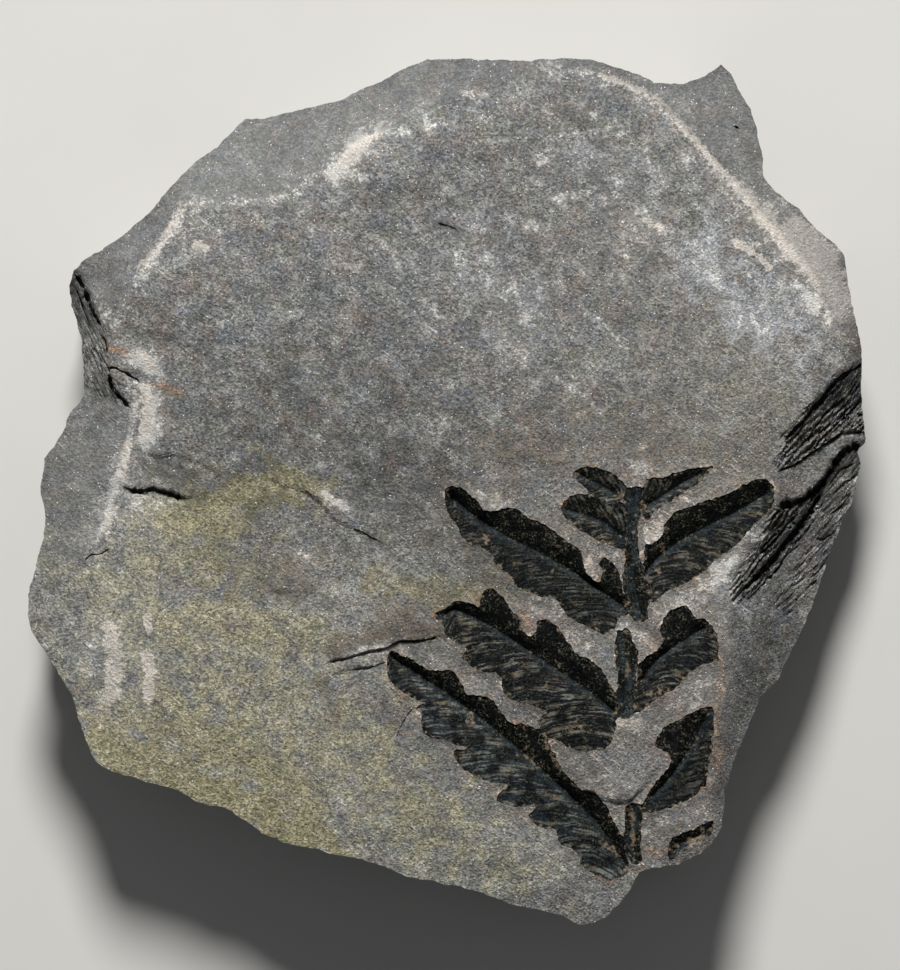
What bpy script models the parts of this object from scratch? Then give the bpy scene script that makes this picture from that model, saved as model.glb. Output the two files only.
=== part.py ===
"""Fossil fern plate: a hand-sized slab of broken shale with a fern frond pressed into its face.

The plan is drawn in millimetres on a sheet seen from above: x runs right and y runs down from the
sheet's top left corner. Heights are millimetres above the flat underside that the slab lies on.
"""

import bpy
import numpy as np
from mathutils import Vector, noise
from mathutils.bvhtree import BVHTree
from mathutils.geometry import delaunay_2d_cdt

# ---- driving dimensions, in millimetres -----------------------------------------------------------
MM = 0.001
PLATE_LENGTH = 87.0          # along Y; the sheet's plan is drawn to this size
FILM_THICKNESS = 0.4         # carbon film of a pinna or a stem
FILM_GAP = 0.3               # clearance between the film and the bed it lies in
FILM_SINK = 0.15             # how far a pinna's margin lies under the rock around it
BED_WALL = 0.12              # width of the wall around a bed
GRID_STEP = 2.1              # spacing of the points that carry the broad form of the face
LINE_CLEARANCE = 0.9         # the grid keeps this far from every drawn line
FACE_SWELL = 0.22            # height of the gentle swells of the split face
SWELL_LENGTH = 13.0
SWELL_PLACE = 3.7            # where in the noise the swells are taken from
STEP_WALL = 0.14             # half width of the wall at a small ledge
MERGE = 0.02                 # points closer than this are one point
ROW_SHARE = 0.866            # rows of a staggered grid lie this share of its step apart
ABOVE_FACE = 50.0            # heights are read by rays that come down from here
NEAR_FACE = 12.0             # about the height of the face where it meets the edge

# Side walls: share of the edge's height and how far in the wall lies there
SIDE_RINGS = ((0.86, 0.2), (0.68, 1.1), (0.45, 0.7), (0.2, 1.8), (0.0, 2.9))
SIDE_RAGGED = 0.7            # share by which the wall wanders over a few millimetres
SIDE_WANDER = 0.9            # share by which it wanders over the length of a side
RAGGED_LENGTH = 5.0
RAGGED_PLACE = 9.0
WANDER_LENGTH = 19.0
WANDER_PLACE = 2.0
LEAST_INSET = 0.05

SHALE_COLOUR = (0.150, 0.142, 0.126, 1.0)
FILM_COLOUR = (0.010, 0.013, 0.015, 1.0)

# ---- the broken edge of the plate: x, y and the height of the face there, clockwise ---------------
OUTLINE = (
    (24.3, 11.6, 9.2), (26.2, 11.6, 9.4), (30.0, 10.7, 9.8), (34.0, 9.8, 10.6), (35.8, 8.8, 10.9),
    (38.0, 8.0, 11.2), (39.5, 7.0, 11.1), (42.5, 5.7, 10.9), (47.0, 5.7, 11.9), (52.0, 5.9, 12.6),
    (56.0, 5.7, 12.9), (59.0, 5.8, 13.0), (60.5, 6.2, 13.0), (62.5, 6.9, 13.0), (64.0, 7.3, 13.0),
    (65.5, 8.1, 12.8), (68.0, 8.2, 12.4), (70.0, 7.7, 12.0), (71.2, 6.9, 11.7), (72.2, 6.2, 11.5),
    (73.3, 7.2, 11.5), (74.2, 9.2, 11.8), (75.2, 10.8, 12.0), (75.8, 12.8, 12.3), (76.3, 15.0, 12.6),
    (76.6, 17.5, 12.8), (77.3, 18.7, 12.9), (79.0, 20.0, 13.0), (80.0, 20.8, 13.0), (80.8, 21.9, 12.9),
    (82.0, 23.0, 12.9), (83.8, 24.4, 12.7), (84.6, 25.5, 12.6), (84.8, 27.0, 12.5), (85.2, 29.5, 12.5),
    (85.6, 31.5, 12.4), (86.2, 34.0, 12.0), (86.5, 36.2, 10.6), (86.4, 38.5, 9.2), (86.6, 41.0, 8.2),
    (87.0, 43.5, 7.6), (86.9, 44.3, 7.4), (86.2, 45.2, 7.4), (86.6, 46.2, 7.2), (86.2, 47.5, 7.3),
    (85.8, 50.0, 7.5), (84.8, 51.8, 7.8), (84.2, 53.5, 8.0), (83.6, 54.8, 8.2), (82.6, 57.5, 8.5),
    (82.0, 59.5, 8.7), (80.8, 62.5, 9.0), (79.5, 65.0, 9.2), (78.3, 67.8, 9.5), (76.2, 70.0, 10.1),
    (75.0, 72.8, 10.6), (74.2, 74.8, 11.0), (73.5, 76.5, 11.3), (72.7, 79.0, 11.8), (72.5, 81.5, 12.2),
    (72.2, 83.0, 12.4), (71.3, 84.5, 12.5), (70.0, 85.6, 12.6), (68.0, 86.6, 12.7), (65.0, 87.0, 12.8),
    (64.0, 87.4, 12.8), (63.5, 88.2, 12.8), (63.0, 89.3, 12.8), (62.0, 90.5, 12.8), (60.8, 91.8, 12.6),
    (59.5, 92.5, 12.5), (58.0, 92.7, 12.4), (56.2, 91.8, 12.5), (54.0, 91.2, 12.6), (52.0, 90.8, 12.7),
    (50.0, 90.2, 12.8), (48.0, 89.3, 12.8), (45.5, 88.8, 12.9), (43.0, 88.2, 12.9), (40.5, 87.8, 13.0),
    (38.5, 86.8, 13.0), (36.0, 86.0, 13.0), (33.0, 85.5, 13.0), (31.0, 84.9, 13.0), (28.5, 84.5, 12.9),
    (26.2, 83.5, 12.9), (24.5, 82.2, 12.9), (22.2, 80.8, 12.8), (20.3, 80.6, 12.7), (18.5, 79.7, 12.7),
    (16.5, 78.8, 12.6), (14.5, 78.3, 12.6), (12.0, 77.6, 12.5), (9.7, 76.6, 12.4), (8.8, 75.2, 12.3),
    (8.2, 73.5, 12.2), (7.7, 72.0, 12.2), (7.2, 70.0, 12.1), (6.2, 68.3, 12.0), (5.0, 66.3, 11.9),
    (3.8, 64.5, 11.8), (3.0, 63.2, 11.7), (2.5, 61.5, 11.6), (2.6, 59.5, 11.5), (3.0, 57.8, 11.5),
    (3.5, 56.0, 11.5), (4.0, 54.0, 11.5), (4.4, 52.0, 11.5), (4.2, 50.5, 11.4), (3.8, 49.2, 11.3),
    (4.0, 47.5, 11.3), (4.2, 45.8, 11.3), (5.2, 44.5, 11.3), (6.0, 43.2, 11.3), (6.6, 41.5, 11.2),
    (7.6, 40.2, 11.2), (8.2, 39.5, 11.1), (8.2, 38.0, 10.7), (8.0, 36.0, 9.9), (7.8, 34.0, 9.0),
    (7.4, 32.5, 8.2), (6.8, 30.5, 7.8), (6.6, 28.5, 8.6), (7.0, 27.0, 10.2), (8.2, 25.8, 10.8),
    (10.0, 24.8, 11.4), (12.0, 23.5, 11.8), (13.5, 22.2, 11.9), (15.0, 21.0, 12.2), (16.0, 19.7, 12.8),
    (18.0, 17.5, 12.4), (19.5, 16.0, 11.8), (21.5, 14.5, 10.8), (23.2, 12.8, 9.8),
)

# ---- creases of the face: x, y, height --------------------------------------------------------------
CREASES = {
    "rim_crest": (
        (11.0, 33.2, 13.7), (11.3, 31.8, 13.9), (12.0, 30.0, 14.0), (13.3, 28.0, 14.2),
        (15.0, 25.8, 14.3), (16.5, 23.5, 14.4), (17.8, 21.2, 14.4), (19.2, 20.3, 14.5),
        (22.5, 20.3, 14.5), (26.0, 19.9, 14.5), (29.0, 19.4, 14.5), (30.8, 17.8, 14.5),
        (33.0, 16.3, 14.5), (35.2, 14.5, 14.5), (37.2, 13.5, 14.4), (40.0, 12.8, 14.4),
        (42.8, 11.4, 14.3), (45.5, 9.8, 14.2), (48.0, 8.8, 14.0), (51.0, 8.0, 13.8),
        (54.0, 7.3, 13.6), (57.0, 7.0, 13.5), (60.0, 7.4, 13.6), (62.5, 8.4, 13.8),
        (64.5, 9.5, 14.0), (66.0, 10.8, 14.1), (68.0, 12.6, 14.2), (70.0, 14.5, 14.3),
        (72.0, 16.8, 14.3), (74.0, 19.0, 14.3), (76.0, 21.5, 14.2), (78.5, 24.0, 14.1),
        (80.0, 25.8, 14.0), (81.5, 28.0, 13.9), (82.2, 30.0, 13.8), (83.5, 32.5, 13.6),
        (84.5, 35.0, 13.3)),
    "inner_brow": (
        (15.5, 33.0, 14.6), (17.5, 28.0, 14.8), (20.5, 23.8, 14.9), (27.0, 22.8, 14.9),
        (33.0, 20.0, 14.9), (40.0, 16.0, 14.9), (47.0, 12.5, 14.7), (54.0, 10.5, 14.4),
        (60.0, 11.0, 14.4), (65.0, 14.5, 14.6), (70.5, 20.0, 14.7), (75.5, 26.0, 14.6),
        (79.0, 31.0, 14.4), (81.0, 35.0, 14.3)),
    "notch_rim": ((8.2, 28.6, 10.9), (9.5, 31.0, 12.5), (10.5, 33.6, 13.3)),
    "left_rim": (
        (10.9, 36.0, 13.7), (11.3, 38.0, 13.8), (12.6, 40.3, 13.9), (13.3, 41.6, 14.0),
        (12.8, 44.0, 13.9), (11.8, 47.0, 13.8), (10.8, 50.0, 13.6), (10.0, 53.0, 13.4),
        (9.2, 55.5, 13.2), (8.3, 58.5, 12.9)),
    "right_drop_top": (
        (85.3, 36.8, 12.8), (84.0, 37.5, 13.4), (81.3, 39.8, 13.9), (80.0, 42.0, 14.0),
        (78.7, 43.8, 14.0), (77.9, 46.5, 13.9), (78.2, 49.0, 13.6), (77.9, 51.0, 13.5),
        (76.4, 53.2, 13.5), (74.6, 55.0, 13.6), (73.6, 57.0, 13.7)),
    "right_drop_foot": (
        (85.6, 39.6, 10.2), (84.3, 40.9, 10.9), (83.0, 42.5, 11.3), (81.7, 44.4, 11.6),
        (80.7, 46.6, 11.8), (80.2, 49.0, 11.8), (79.4, 51.4, 11.8), (77.6, 53.8, 12.1),
        (75.8, 55.9, 12.6)),
    "bench_edge": (
        (85.6, 44.2, 9.5), (83.9, 46.0, 10.1), (82.8, 48.0, 10.5), (81.5, 50.2, 10.8),
        (79.8, 52.4, 11.1), (78.0, 54.8, 11.5)),
    "bench_foot": (
        (85.5, 46.2, 8.3), (84.4, 48.0, 8.9), (83.3, 50.2, 9.2), (82.0, 52.4, 9.5),
        (80.2, 54.6, 10.0), (78.2, 57.0, 10.8)),
    "fern_side_rim": (
        (72.9, 60.0, 13.7), (72.6, 63.0, 13.7), (72.6, 66.0, 13.7), (72.5, 70.0, 13.6),
        (72.2, 74.0, 13.5), (71.9, 78.0, 13.4), (71.5, 81.5, 13.2)),
}

# ---- single heights of the open face ----------------------------------------------------------------
FACE_HEIGHTS = (
    (22, 30, 15.0), (30, 27, 15.1), (40, 22, 15.1), (50, 17, 15.0), (58, 17, 14.9), (68, 24, 15.0),
    (74, 33, 14.9), (60, 29, 15.3), (48, 33, 15.4), (34, 35, 15.2), (20, 37, 14.8), (16, 44, 14.6),
    (28, 43, 15.0), (42, 43, 15.1), (55, 41, 15.3), (68, 38, 15.0), (76, 41, 14.6), (17, 48, 14.4),
    (36, 50, 14.8), (60, 46, 14.9), (70, 45.5, 14.7), (44, 55, 14.6), (42, 62, 14.4), (33, 58, 14.3),
    (24, 56, 14.3), (15, 57, 14.0), (12, 65, 13.7), (22, 66, 14.0), (32, 67, 14.1), (15, 73, 13.4),
    (26, 75, 13.7), (36, 77, 13.9), (44, 80, 13.9), (34, 82, 13.5), (50, 85, 13.6), (57, 89, 13.2),
    (54, 61, 14.4), (64, 53, 14.4), (66, 61, 14.3), (64, 71, 14.2), (58, 76, 14.2), (66, 82, 13.6),
    (70, 83.5, 13.3),
)

# ---- small ledges of the bedding: the face is higher on the left of each line ------------------------
LEDGES = {
    "long_step": {
        "line": ((12.8, 48.8), (14.0, 49.2), (16.0, 49.2), (18.0, 49.7), (20.5, 49.3), (22.5, 48.7),
                 (24.0, 48.2), (26.2, 47.8), (29.0, 48.6), (30.5, 49.1), (32.0, 50.3), (33.5, 51.9),
                 (35.0, 52.7), (36.2, 53.4), (37.8, 54.1), (39.5, 54.8)),
        "drop": (0.5, 0.9, 0.9, 0.6, 0.35, 0.3, 0.3, 0.35, 0.5, 0.6, 0.6, 0.55, 0.5, 0.45, 0.3, 0.0),
        "reach": 6.0},
    "lip_over_pinna": {
        "line": ((32.5, 66.2), (34.5, 65.8), (36.5, 65.2), (38.5, 64.8), (40.0, 64.1), (42.0, 64.1),
                 (44.0, 63.7), (45.2, 63.2)),
        "drop": (0.0, 0.5, 0.75, 0.75, 0.7, 0.6, 0.4, 0.0),
        "reach": 5.0},
    "flake_edge": {
        "line": ((56.4, 75.0), (57.6, 77.6), (59.8, 79.6), (62.4, 80.2), (64.0, 79.0), (65.4, 77.3),
                 (66.8, 75.6)),
        "drop": (0.0, 0.25, 0.4, 0.45, 0.45, 0.3, 0.0),
        "reach": 4.0},
}

# ---- the frond: margin and rib of each piece, x and y ------------------------------------------------
FROND = {
    "rachis_upper": {
        "margin": ((62.7, 48.9), (64.0, 48.9), (64.0, 50.3), (63.8, 52.2), (63.7, 54.5), (64.0, 56.5),
                   (64.5, 59.0), (64.7, 61.8), (63.3, 61.9), (62.9, 60.0), (62.5, 58.5), (62.5, 56.5),
                   (62.8, 54.5), (62.8, 52.2), (62.6, 50.5)),
        "rib": ((63.3, 49.8), (63.3, 54.5), (63.3, 57.5), (63.9, 61.0)),
        "trough": 0.25},
    "rachis_middle": {
        "margin": ((61.6, 63.5), (62.8, 62.9), (63.3, 64.2), (63.7, 65.5), (63.4, 67.2), (63.3, 69.0),
                   (63.1, 71.6), (62.1, 71.7), (61.9, 70.0), (61.8, 68.0), (61.6, 66.0)),
        "rib": ((62.4, 64.0), (62.6, 66.5), (62.6, 69.0), (62.6, 70.9)),
        "trough": 0.25},
    "rachis_lower": {
        "margin": ((62.7, 80.7), (63.8, 80.7), (63.7, 82.8), (63.6, 84.8), (64.0, 86.0), (63.4, 86.4),
                   (62.9, 85.0), (62.7, 83.0)),
        "rib": ((63.3, 81.4), (63.2, 83.4), (63.4, 85.5)),
        "trough": 0.25},
    "leaflet_tip_left_upper": {
        "margin": ((57.3, 47.4), (58.0, 46.8), (59.5, 46.8), (61.0, 47.2), (62.0, 48.3), (62.0, 49.1),
                   (61.6, 49.9), (61.0, 50.1), (59.7, 49.7), (58.5, 48.8), (57.6, 48.0)),
        "rib": ((58.2, 47.6), (59.6, 48.3), (61.3, 49.2)),
        "trough": 0.4},
    "leaflet_tip_left_lower": {
        "margin": ((56.1, 51.2), (56.9, 50.2), (58.3, 50.3), (60.0, 50.9), (61.4, 51.2), (62.1, 52.0),
                   (62.3, 53.2), (62.0, 54.4), (61.2, 54.3), (60.0, 54.0), (58.5, 53.2), (57.0, 52.1)),
        "rib": ((56.8, 51.0), (58.8, 51.6), (60.6, 52.4), (61.8, 53.4)),
        "trough": 0.4},
    "leaflet_tip_right": {
        "margin": ((64.5, 48.3), (65.0, 47.8), (66.5, 47.7), (68.0, 47.2), (69.5, 46.9), (71.2, 46.7),
                   (70.5, 47.6), (69.0, 48.8), (67.2, 50.0), (65.6, 51.0), (64.5, 51.8)),
        "rib": ((64.9, 50.4), (66.5, 49.4), (68.4, 48.2), (70.2, 47.3)),
        "trough": 0.4},
    "pinna_left_upper": {
        "margin": ((44.5, 49.8), (44.8, 48.8), (45.7, 48.7), (46.6, 49.1), (47.5, 49.9), (48.0, 50.8),
                   (49.0, 51.2), (50.0, 51.0), (51.0, 50.8), (52.0, 51.2), (53.0, 51.9), (54.5, 52.5),
                   (56.0, 53.7), (57.2, 54.5), (58.1, 55.3), (58.3, 56.6), (58.8, 57.6), (59.8, 58.2),
                   (60.3, 57.2), (60.0, 56.2), (60.6, 55.8), (61.4, 56.5), (61.8, 57.5), (62.0, 58.8),
                   (62.4, 60.2), (62.6, 61.4), (61.9, 61.8), (61.6, 62.5), (61.0, 63.0), (60.4, 63.4),
                   (59.5, 63.0), (58.6, 62.6), (57.6, 62.2), (56.8, 61.6), (56.2, 60.8), (55.8, 60.0),
                   (55.0, 59.7), (53.5, 59.4), (52.0, 58.8), (51.5, 58.3), (50.8, 57.3), (49.7, 56.5),
                   (49.2, 55.5), (48.2, 54.8), (47.0, 54.3), (46.2, 53.5), (45.7, 52.4), (45.0, 51.7)),
        "rib": ((45.1, 49.8), (46.2, 50.6), (48.0, 52.0), (51.0, 53.8), (54.0, 55.3), (57.0, 57.0),
                (60.0, 59.0), (61.9, 60.4)),
        "trough": 0.75},
    "pinna_left_middle": {
        "margin": ((43.6, 61.4), (44.8, 60.6), (45.8, 60.2), (47.0, 60.4), (48.0, 60.6), (48.3, 59.2),
                   (49.3, 59.0), (50.2, 59.6), (50.7, 60.3), (51.1, 61.1), (51.8, 61.8), (52.1, 62.8),
                   (52.8, 63.7), (53.6, 63.2), (53.8, 62.1), (55.0, 62.2), (56.0, 63.2), (56.8, 64.3),
                   (57.8, 65.5), (59.0, 66.0), (60.0, 66.8), (60.7, 68.0), (61.3, 69.2), (61.5, 70.3),
                   (61.6, 71.6), (61.5, 72.8), (61.2, 74.0), (60.5, 74.8), (59.0, 75.1), (57.5, 74.9),
                   (56.0, 74.2), (54.8, 73.5), (54.1, 72.6), (54.2, 71.8), (54.7, 71.2), (53.5, 70.7),
                   (52.0, 70.2), (50.8, 69.8), (50.3, 69.0), (50.2, 67.8), (49.5, 67.3), (48.0, 67.0),
                   (47.0, 66.5), (46.4, 65.8), (46.7, 65.1), (46.2, 64.5), (45.2, 64.0), (44.5, 63.2),
                   (44.1, 62.2)),
        "rib": ((44.6, 61.2), (45.5, 60.9), (47.5, 61.8), (50.0, 63.2), (53.0, 65.2), (56.0, 67.2),
                (59.0, 69.2), (61.2, 71.0)),
        "trough": 0.75},
    "pinna_left_lower": {
        "margin": ((38.7, 65.8), (39.2, 65.1), (40.0, 65.5), (41.2, 66.0), (42.5, 67.0), (44.0, 67.2),
                   (45.0, 67.1), (45.8, 67.8), (46.3, 68.8), (46.8, 69.5), (48.0, 69.7), (49.2, 70.0),
                   (49.8, 70.8), (50.5, 71.8), (51.2, 72.5), (52.5, 72.7), (53.2, 73.5), (53.8, 74.5),
                   (54.5, 75.5), (55.2, 76.5), (56.0, 77.2), (57.0, 78.5), (58.0, 79.0), (59.0, 79.5),
                   (60.0, 80.3), (60.5, 81.2), (61.2, 82.2), (61.8, 83.2), (62.2, 84.2), (62.4, 85.6),
                   (62.8, 87.0), (62.4, 87.6), (61.2, 88.1), (60.5, 88.0), (59.5, 87.5), (58.3, 86.8),
                   (58.0, 85.8), (57.5, 85.0), (56.2, 84.5), (55.8, 83.8), (55.5, 82.8), (54.3, 82.8),
                   (53.3, 82.2), (53.0, 81.5), (53.5, 80.7), (52.0, 80.7), (50.5, 80.5), (49.8, 80.0),
                   (50.0, 79.3), (50.8, 78.5), (49.2, 78.3), (47.8, 77.8), (46.5, 77.0), (45.8, 76.2),
                   (45.5, 75.2), (46.7, 74.8), (45.8, 74.5), (44.5, 74.0), (43.2, 73.8), (42.3, 73.0),
                   (42.2, 71.5), (41.7, 70.8), (42.5, 70.3), (41.5, 69.8), (40.0, 69.0), (39.0, 68.0),
                   (38.8, 66.8)),
        "rib": ((39.4, 65.8), (42.0, 67.6), (45.0, 69.6), (48.0, 71.8), (51.0, 74.2), (54.0, 76.8),
                (57.0, 79.6), (60.0, 82.7), (62.2, 86.0)),
        "trough": 0.75},
    "pinna_right_upper": {
        "margin": ((64.5, 54.9), (65.2, 54.5), (66.2, 53.5), (66.8, 52.1), (67.6, 51.3), (69.0, 50.7),
                   (71.0, 50.0), (73.0, 49.3), (74.5, 48.5), (75.7, 48.1), (76.8, 48.0), (77.5, 48.9),
                   (77.3, 50.3), (76.8, 51.2), (75.8, 52.0), (74.8, 53.2), (73.9, 54.2), (72.7, 55.2),
                   (71.4, 56.1), (70.5, 57.0), (69.0, 58.0), (67.0, 59.0), (65.7, 59.8), (65.1, 59.9)),
        "rib": ((64.7, 57.0), (66.0, 55.6), (68.0, 54.1), (70.0, 53.0), (72.0, 52.0), (74.0, 51.0),
                (76.6, 49.4)),
        "trough": 0.7},
    "pinna_right_middle": {
        "margin": ((64.1, 66.6), (64.8, 65.7), (65.8, 65.0), (66.4, 64.0), (66.0, 63.2), (66.2, 62.2),
                   (67.0, 61.2), (68.5, 60.5), (69.0, 61.2), (69.5, 61.8), (70.5, 62.0), (71.2, 62.8),
                   (71.7, 64.0), (71.9, 65.4), (71.7, 66.1), (70.0, 66.5), (69.0, 67.2), (68.5, 68.0),
                   (67.8, 68.5), (66.8, 69.2), (65.5, 70.0), (64.5, 70.7), (63.7, 71.2), (63.8, 69.5)),
        "rib": ((64.2, 68.0), (65.5, 66.2), (67.0, 65.0), (68.5, 64.0), (70.4, 62.8)),
        "trough": 0.6},
    "pinna_right_lower": {
        "margin": ((65.8, 73.8), (66.5, 72.8), (68.0, 72.0), (69.5, 71.2), (71.0, 70.7), (71.4, 71.6),
                   (71.2, 74.0), (71.0, 76.0), (70.6, 78.3), (70.0, 79.1), (69.0, 79.9), (67.5, 80.5),
                   (66.0, 81.1), (64.7, 81.2), (64.4, 80.6), (64.8, 79.5), (65.8, 78.0), (66.8, 76.8),
                   (67.2, 76.0), (66.5, 75.2), (65.6, 74.7)),
        "rib": ((65.3, 79.6), (67.0, 77.8), (68.3, 76.0), (69.4, 74.2), (70.4, 72.2)),
        "trough": 0.6},
    "pinna_right_lowest": {
        "margin": ((66.8, 85.0), (67.2, 84.0), (68.0, 83.5), (70.0, 82.8), (70.9, 83.2), (70.7, 84.0),
                   (69.0, 84.7), (68.1, 85.4), (67.7, 86.0), (67.0, 86.0)),
        "rib": ((67.4, 85.2), (68.2, 84.4), (70.0, 83.6)),
        "trough": 0.25},
}


# ---- plan geometry -----------------------------------------------------------------------------------
def sheet_frame():
    """The middle of the plate on the sheet, and the scale that gives the plate its length."""
    plan = np.array(OUTLINE)[:, :2]
    low, high = plan.min(axis=0), plan.max(axis=0)
    return (low + high) / 2.0, PLATE_LENGTH / (high[1] - low[1])


SHEET_MIDDLE, SHEET_SCALE = sheet_frame()


def placed(points):
    """Sheet points turned into X and Y about the plate's middle, Y up, heights kept."""
    points = np.array(points, dtype=float)
    points[:, 0] = (points[:, 0] - SHEET_MIDDLE[0]) * SHEET_SCALE
    points[:, 1] = (SHEET_MIDDLE[1] - points[:, 1]) * SHEET_SCALE
    return points


def nearest_on_line(points, line, closed=False):
    """Distance to a line of points, the place along it as a point number, and the side it lies on."""
    starts = line if closed else line[:-1]
    ends = np.roll(line, -1, axis=0) if closed else line[1:]
    run = ends - starts
    offset = points[:, None, :] - starts[None, :, :]
    share = np.clip((offset * run).sum(axis=2) / (run * run).sum(axis=1), 0.0, 1.0)
    gap = np.linalg.norm(offset - share[:, :, None] * run, axis=2)
    best = gap.argmin(axis=1)
    row = np.arange(len(points))
    cross = run[best, 0] * offset[row, best, 1] - run[best, 1] * offset[row, best, 0]
    return gap[row, best], best + share[row, best], np.sign(cross)


def inside(points, loop):
    """True for the points within a closed line."""
    x, y = points[:, 0:1], points[:, 1:2]
    ax, ay = loop[:, 0], loop[:, 1]
    bx, by = np.roll(ax, -1), np.roll(ay, -1)
    crosses = (ay > y) != (by > y)
    rise = np.where(by == ay, 1e-9, by - ay)
    hit = crosses & (x < (bx - ax) * (y - ay) / rise + ax)
    return hit.sum(axis=1) % 2 == 1


def moved_out(loop, distance, closed=True):
    """A line moved sideways, to its right; outwards for a loop that runs clockwise on the sheet."""
    before = np.roll(loop, 1, axis=0)
    after = np.roll(loop, -1, axis=0)
    if not closed:
        before[0], after[-1] = loop[0], loop[-1]
    along = after - before
    along /= np.linalg.norm(along, axis=1)[:, None]
    left = np.column_stack((-along[:, 1], along[:, 0]))
    return loop + left * distance


def triangulated(points, edges):
    """Triangles of a plan that keep the given edges, within the outermost loop."""
    flat = [Vector((float(x), float(y))) for x, y in points]
    result = delaunay_2d_cdt(flat, edges, [], 1, MERGE)
    return np.array([tuple(v) for v in result[0]]), [tuple(f) for f in result[2]]


def chain(points, first, closed=False):
    """Index pairs that join a run of points."""
    count = len(points)
    pairs = [(first + k, first + k + 1) for k in range(count - 1)]
    if closed:
        pairs.append((first + count - 1, first))
    return pairs


# ---- the rock's face ---------------------------------------------------------------------------------
def broad_form():
    """The face's facets: triangles between the edge, the creases and the single heights."""
    edge = placed(OUTLINE)
    points, pairs = [edge], chain(edge, 0, closed=True)
    count = len(edge)
    for crease in CREASES.values():
        line = placed(crease)
        pairs += chain(line, count)
        points.append(line)
        count += len(line)
    points.append(placed(FACE_HEIGHTS))
    points = np.vstack(points)
    plan, faces = triangulated(points[:, :2], pairs)
    gaps = np.linalg.norm(plan[:, None, :] - points[None, :, :2], axis=2)
    heights = points[gaps.argmin(axis=1), 2]
    corners = [Vector((x, y, z)) for (x, y), z in zip(plan, heights)]
    return BVHTree.FromPolygons(corners, faces)


def ledge_height(points, ledge):
    """A bedding ledge: the face stands up on one side of its line and settles back further off."""
    gap, place, side = nearest_on_line(points, placed(ledge["line"]))
    drop = np.interp(place, np.arange(len(ledge["drop"])), ledge["drop"])
    wall = np.clip(gap / STEP_WALL, 0.0, 1.0)
    return 0.5 * drop * side * wall * np.exp(-gap / ledge["reach"])


def face_height(points, form):
    """Height of the split face, before the frond's beds."""
    heights = np.empty(len(points))
    for k, (x, y) in enumerate(points):
        hit = form.ray_cast(Vector((x, y, ABOVE_FACE)), Vector((0.0, 0.0, -1.0)))[0]
        if hit is None:
            hit = form.find_nearest(Vector((x, y, NEAR_FACE)))[0]
        swell = noise.noise(Vector((x / SWELL_LENGTH, y / SWELL_LENGTH, SWELL_PLACE)))
        heights[k] = hit.z + FACE_SWELL * swell
    for ledge in LEDGES.values():
        heights += ledge_height(points, ledge)
    return heights


def film_depth(points, piece):
    """How far a piece's film lies under the rock: a trough that is deepest along the rib."""
    to_edge = nearest_on_line(points, placed(piece["margin"]), closed=True)[0]
    to_rib = nearest_on_line(points, placed(piece["rib"]))[0]
    share = to_rib / (to_rib + to_edge + 1e-6)
    return FILM_SINK + piece["trough"] * (1.0 - share)


def bed_depth(points):
    """Depth of the beds that hold the film, with a short wall around each."""
    depth = np.zeros(len(points))
    for piece in FROND.values():
        margin = placed(piece["margin"])
        gap = nearest_on_line(points, margin, closed=True)[0]
        within = inside(points, margin)
        gap = np.where(within, 0.0, gap)
        under = np.where(within, film_depth(points, piece), FILM_SINK)
        wall = np.clip((FILM_GAP + BED_WALL - gap) / BED_WALL, 0.0, 1.0)
        depth = np.maximum(depth, wall * (under + FILM_THICKNESS + FILM_GAP))
    return depth


# ---- the slab ----------------------------------------------------------------------------------------
def drawn_lines():
    """Every line that the slab's face keeps: creases, ledges, the beds' walls and the ribs."""
    lines = [(placed(crease)[:, :2], False) for crease in CREASES.values()]
    for ledge in LEDGES.values():
        line = placed(ledge["line"])
        for side in (-STEP_WALL, STEP_WALL):
            lines.append((moved_out(line, side, closed=False), False))
    for piece in FROND.values():
        margin = placed(piece["margin"])
        lines.append((margin, True))
        for distance in (FILM_GAP, FILM_GAP + BED_WALL):
            lines.append((moved_out(margin, distance), True))
        lines.append((placed(piece["rib"]), False))
    return lines


def grid_points(edge, lines):
    """A staggered grid over the plate that keeps clear of the edge and of every drawn line."""
    low, high = edge.min(axis=0), edge.max(axis=0)
    row_step = GRID_STEP * ROW_SHARE
    points = []
    for row in range(int((high[1] - low[1]) / row_step) + 1):
        shift = 0.5 * GRID_STEP * (row % 2)
        for column in range(int((high[0] - low[0]) / GRID_STEP) + 1):
            x = low[0] + shift + column * GRID_STEP
            y = low[1] + row * row_step
            points.append((x, y))
    points = np.array(points)
    keep = inside(points, edge)
    keep &= nearest_on_line(points, edge, closed=True)[0] > LINE_CLEARANCE
    for line, closed in lines:
        keep &= nearest_on_line(points, line, closed)[0] > LINE_CLEARANCE
    for piece in FROND.values():
        keep &= ~inside(points, placed(piece["margin"]))
    return points[keep]


def open_loop(faces):
    """The vertices round the rim of a sheet of triangles, in order."""
    ahead = {}
    for face in faces:
        for k in range(3):
            ahead[(face[k], face[(k + 1) % 3])] = True
    following = {a: b for a, b in ahead if (b, a) not in ahead}
    start = next(iter(following))
    loop = [start]
    while following[loop[-1]] != start:
        loop.append(following[loop[-1]])
    return loop


def noise_along(rim, length, place):
    """Noise of a given length, read at each corner of the rim."""
    return np.array([noise.noise(Vector((x / length, y / length, place))) for x, y in rim[:, :2]])


def side_ring(rim, share, inset, ring):
    """The rim moved down the broken side: in towards the middle, and ragged along it."""
    reach = np.linalg.norm(rim[:, :2], axis=1)
    ragged = noise_along(rim, RAGGED_LENGTH, RAGGED_PLACE + ring)
    wander = noise_along(rim, WANDER_LENGTH, WANDER_PLACE)
    depth = np.maximum(inset * (1.0 + SIDE_RAGGED * ragged + SIDE_WANDER * wander), LEAST_INSET)
    points = rim.copy()
    points[:, :2] *= (1.0 - depth / reach)[:, None]
    points[:, 2] = rim[:, 2] * share
    return points


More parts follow.
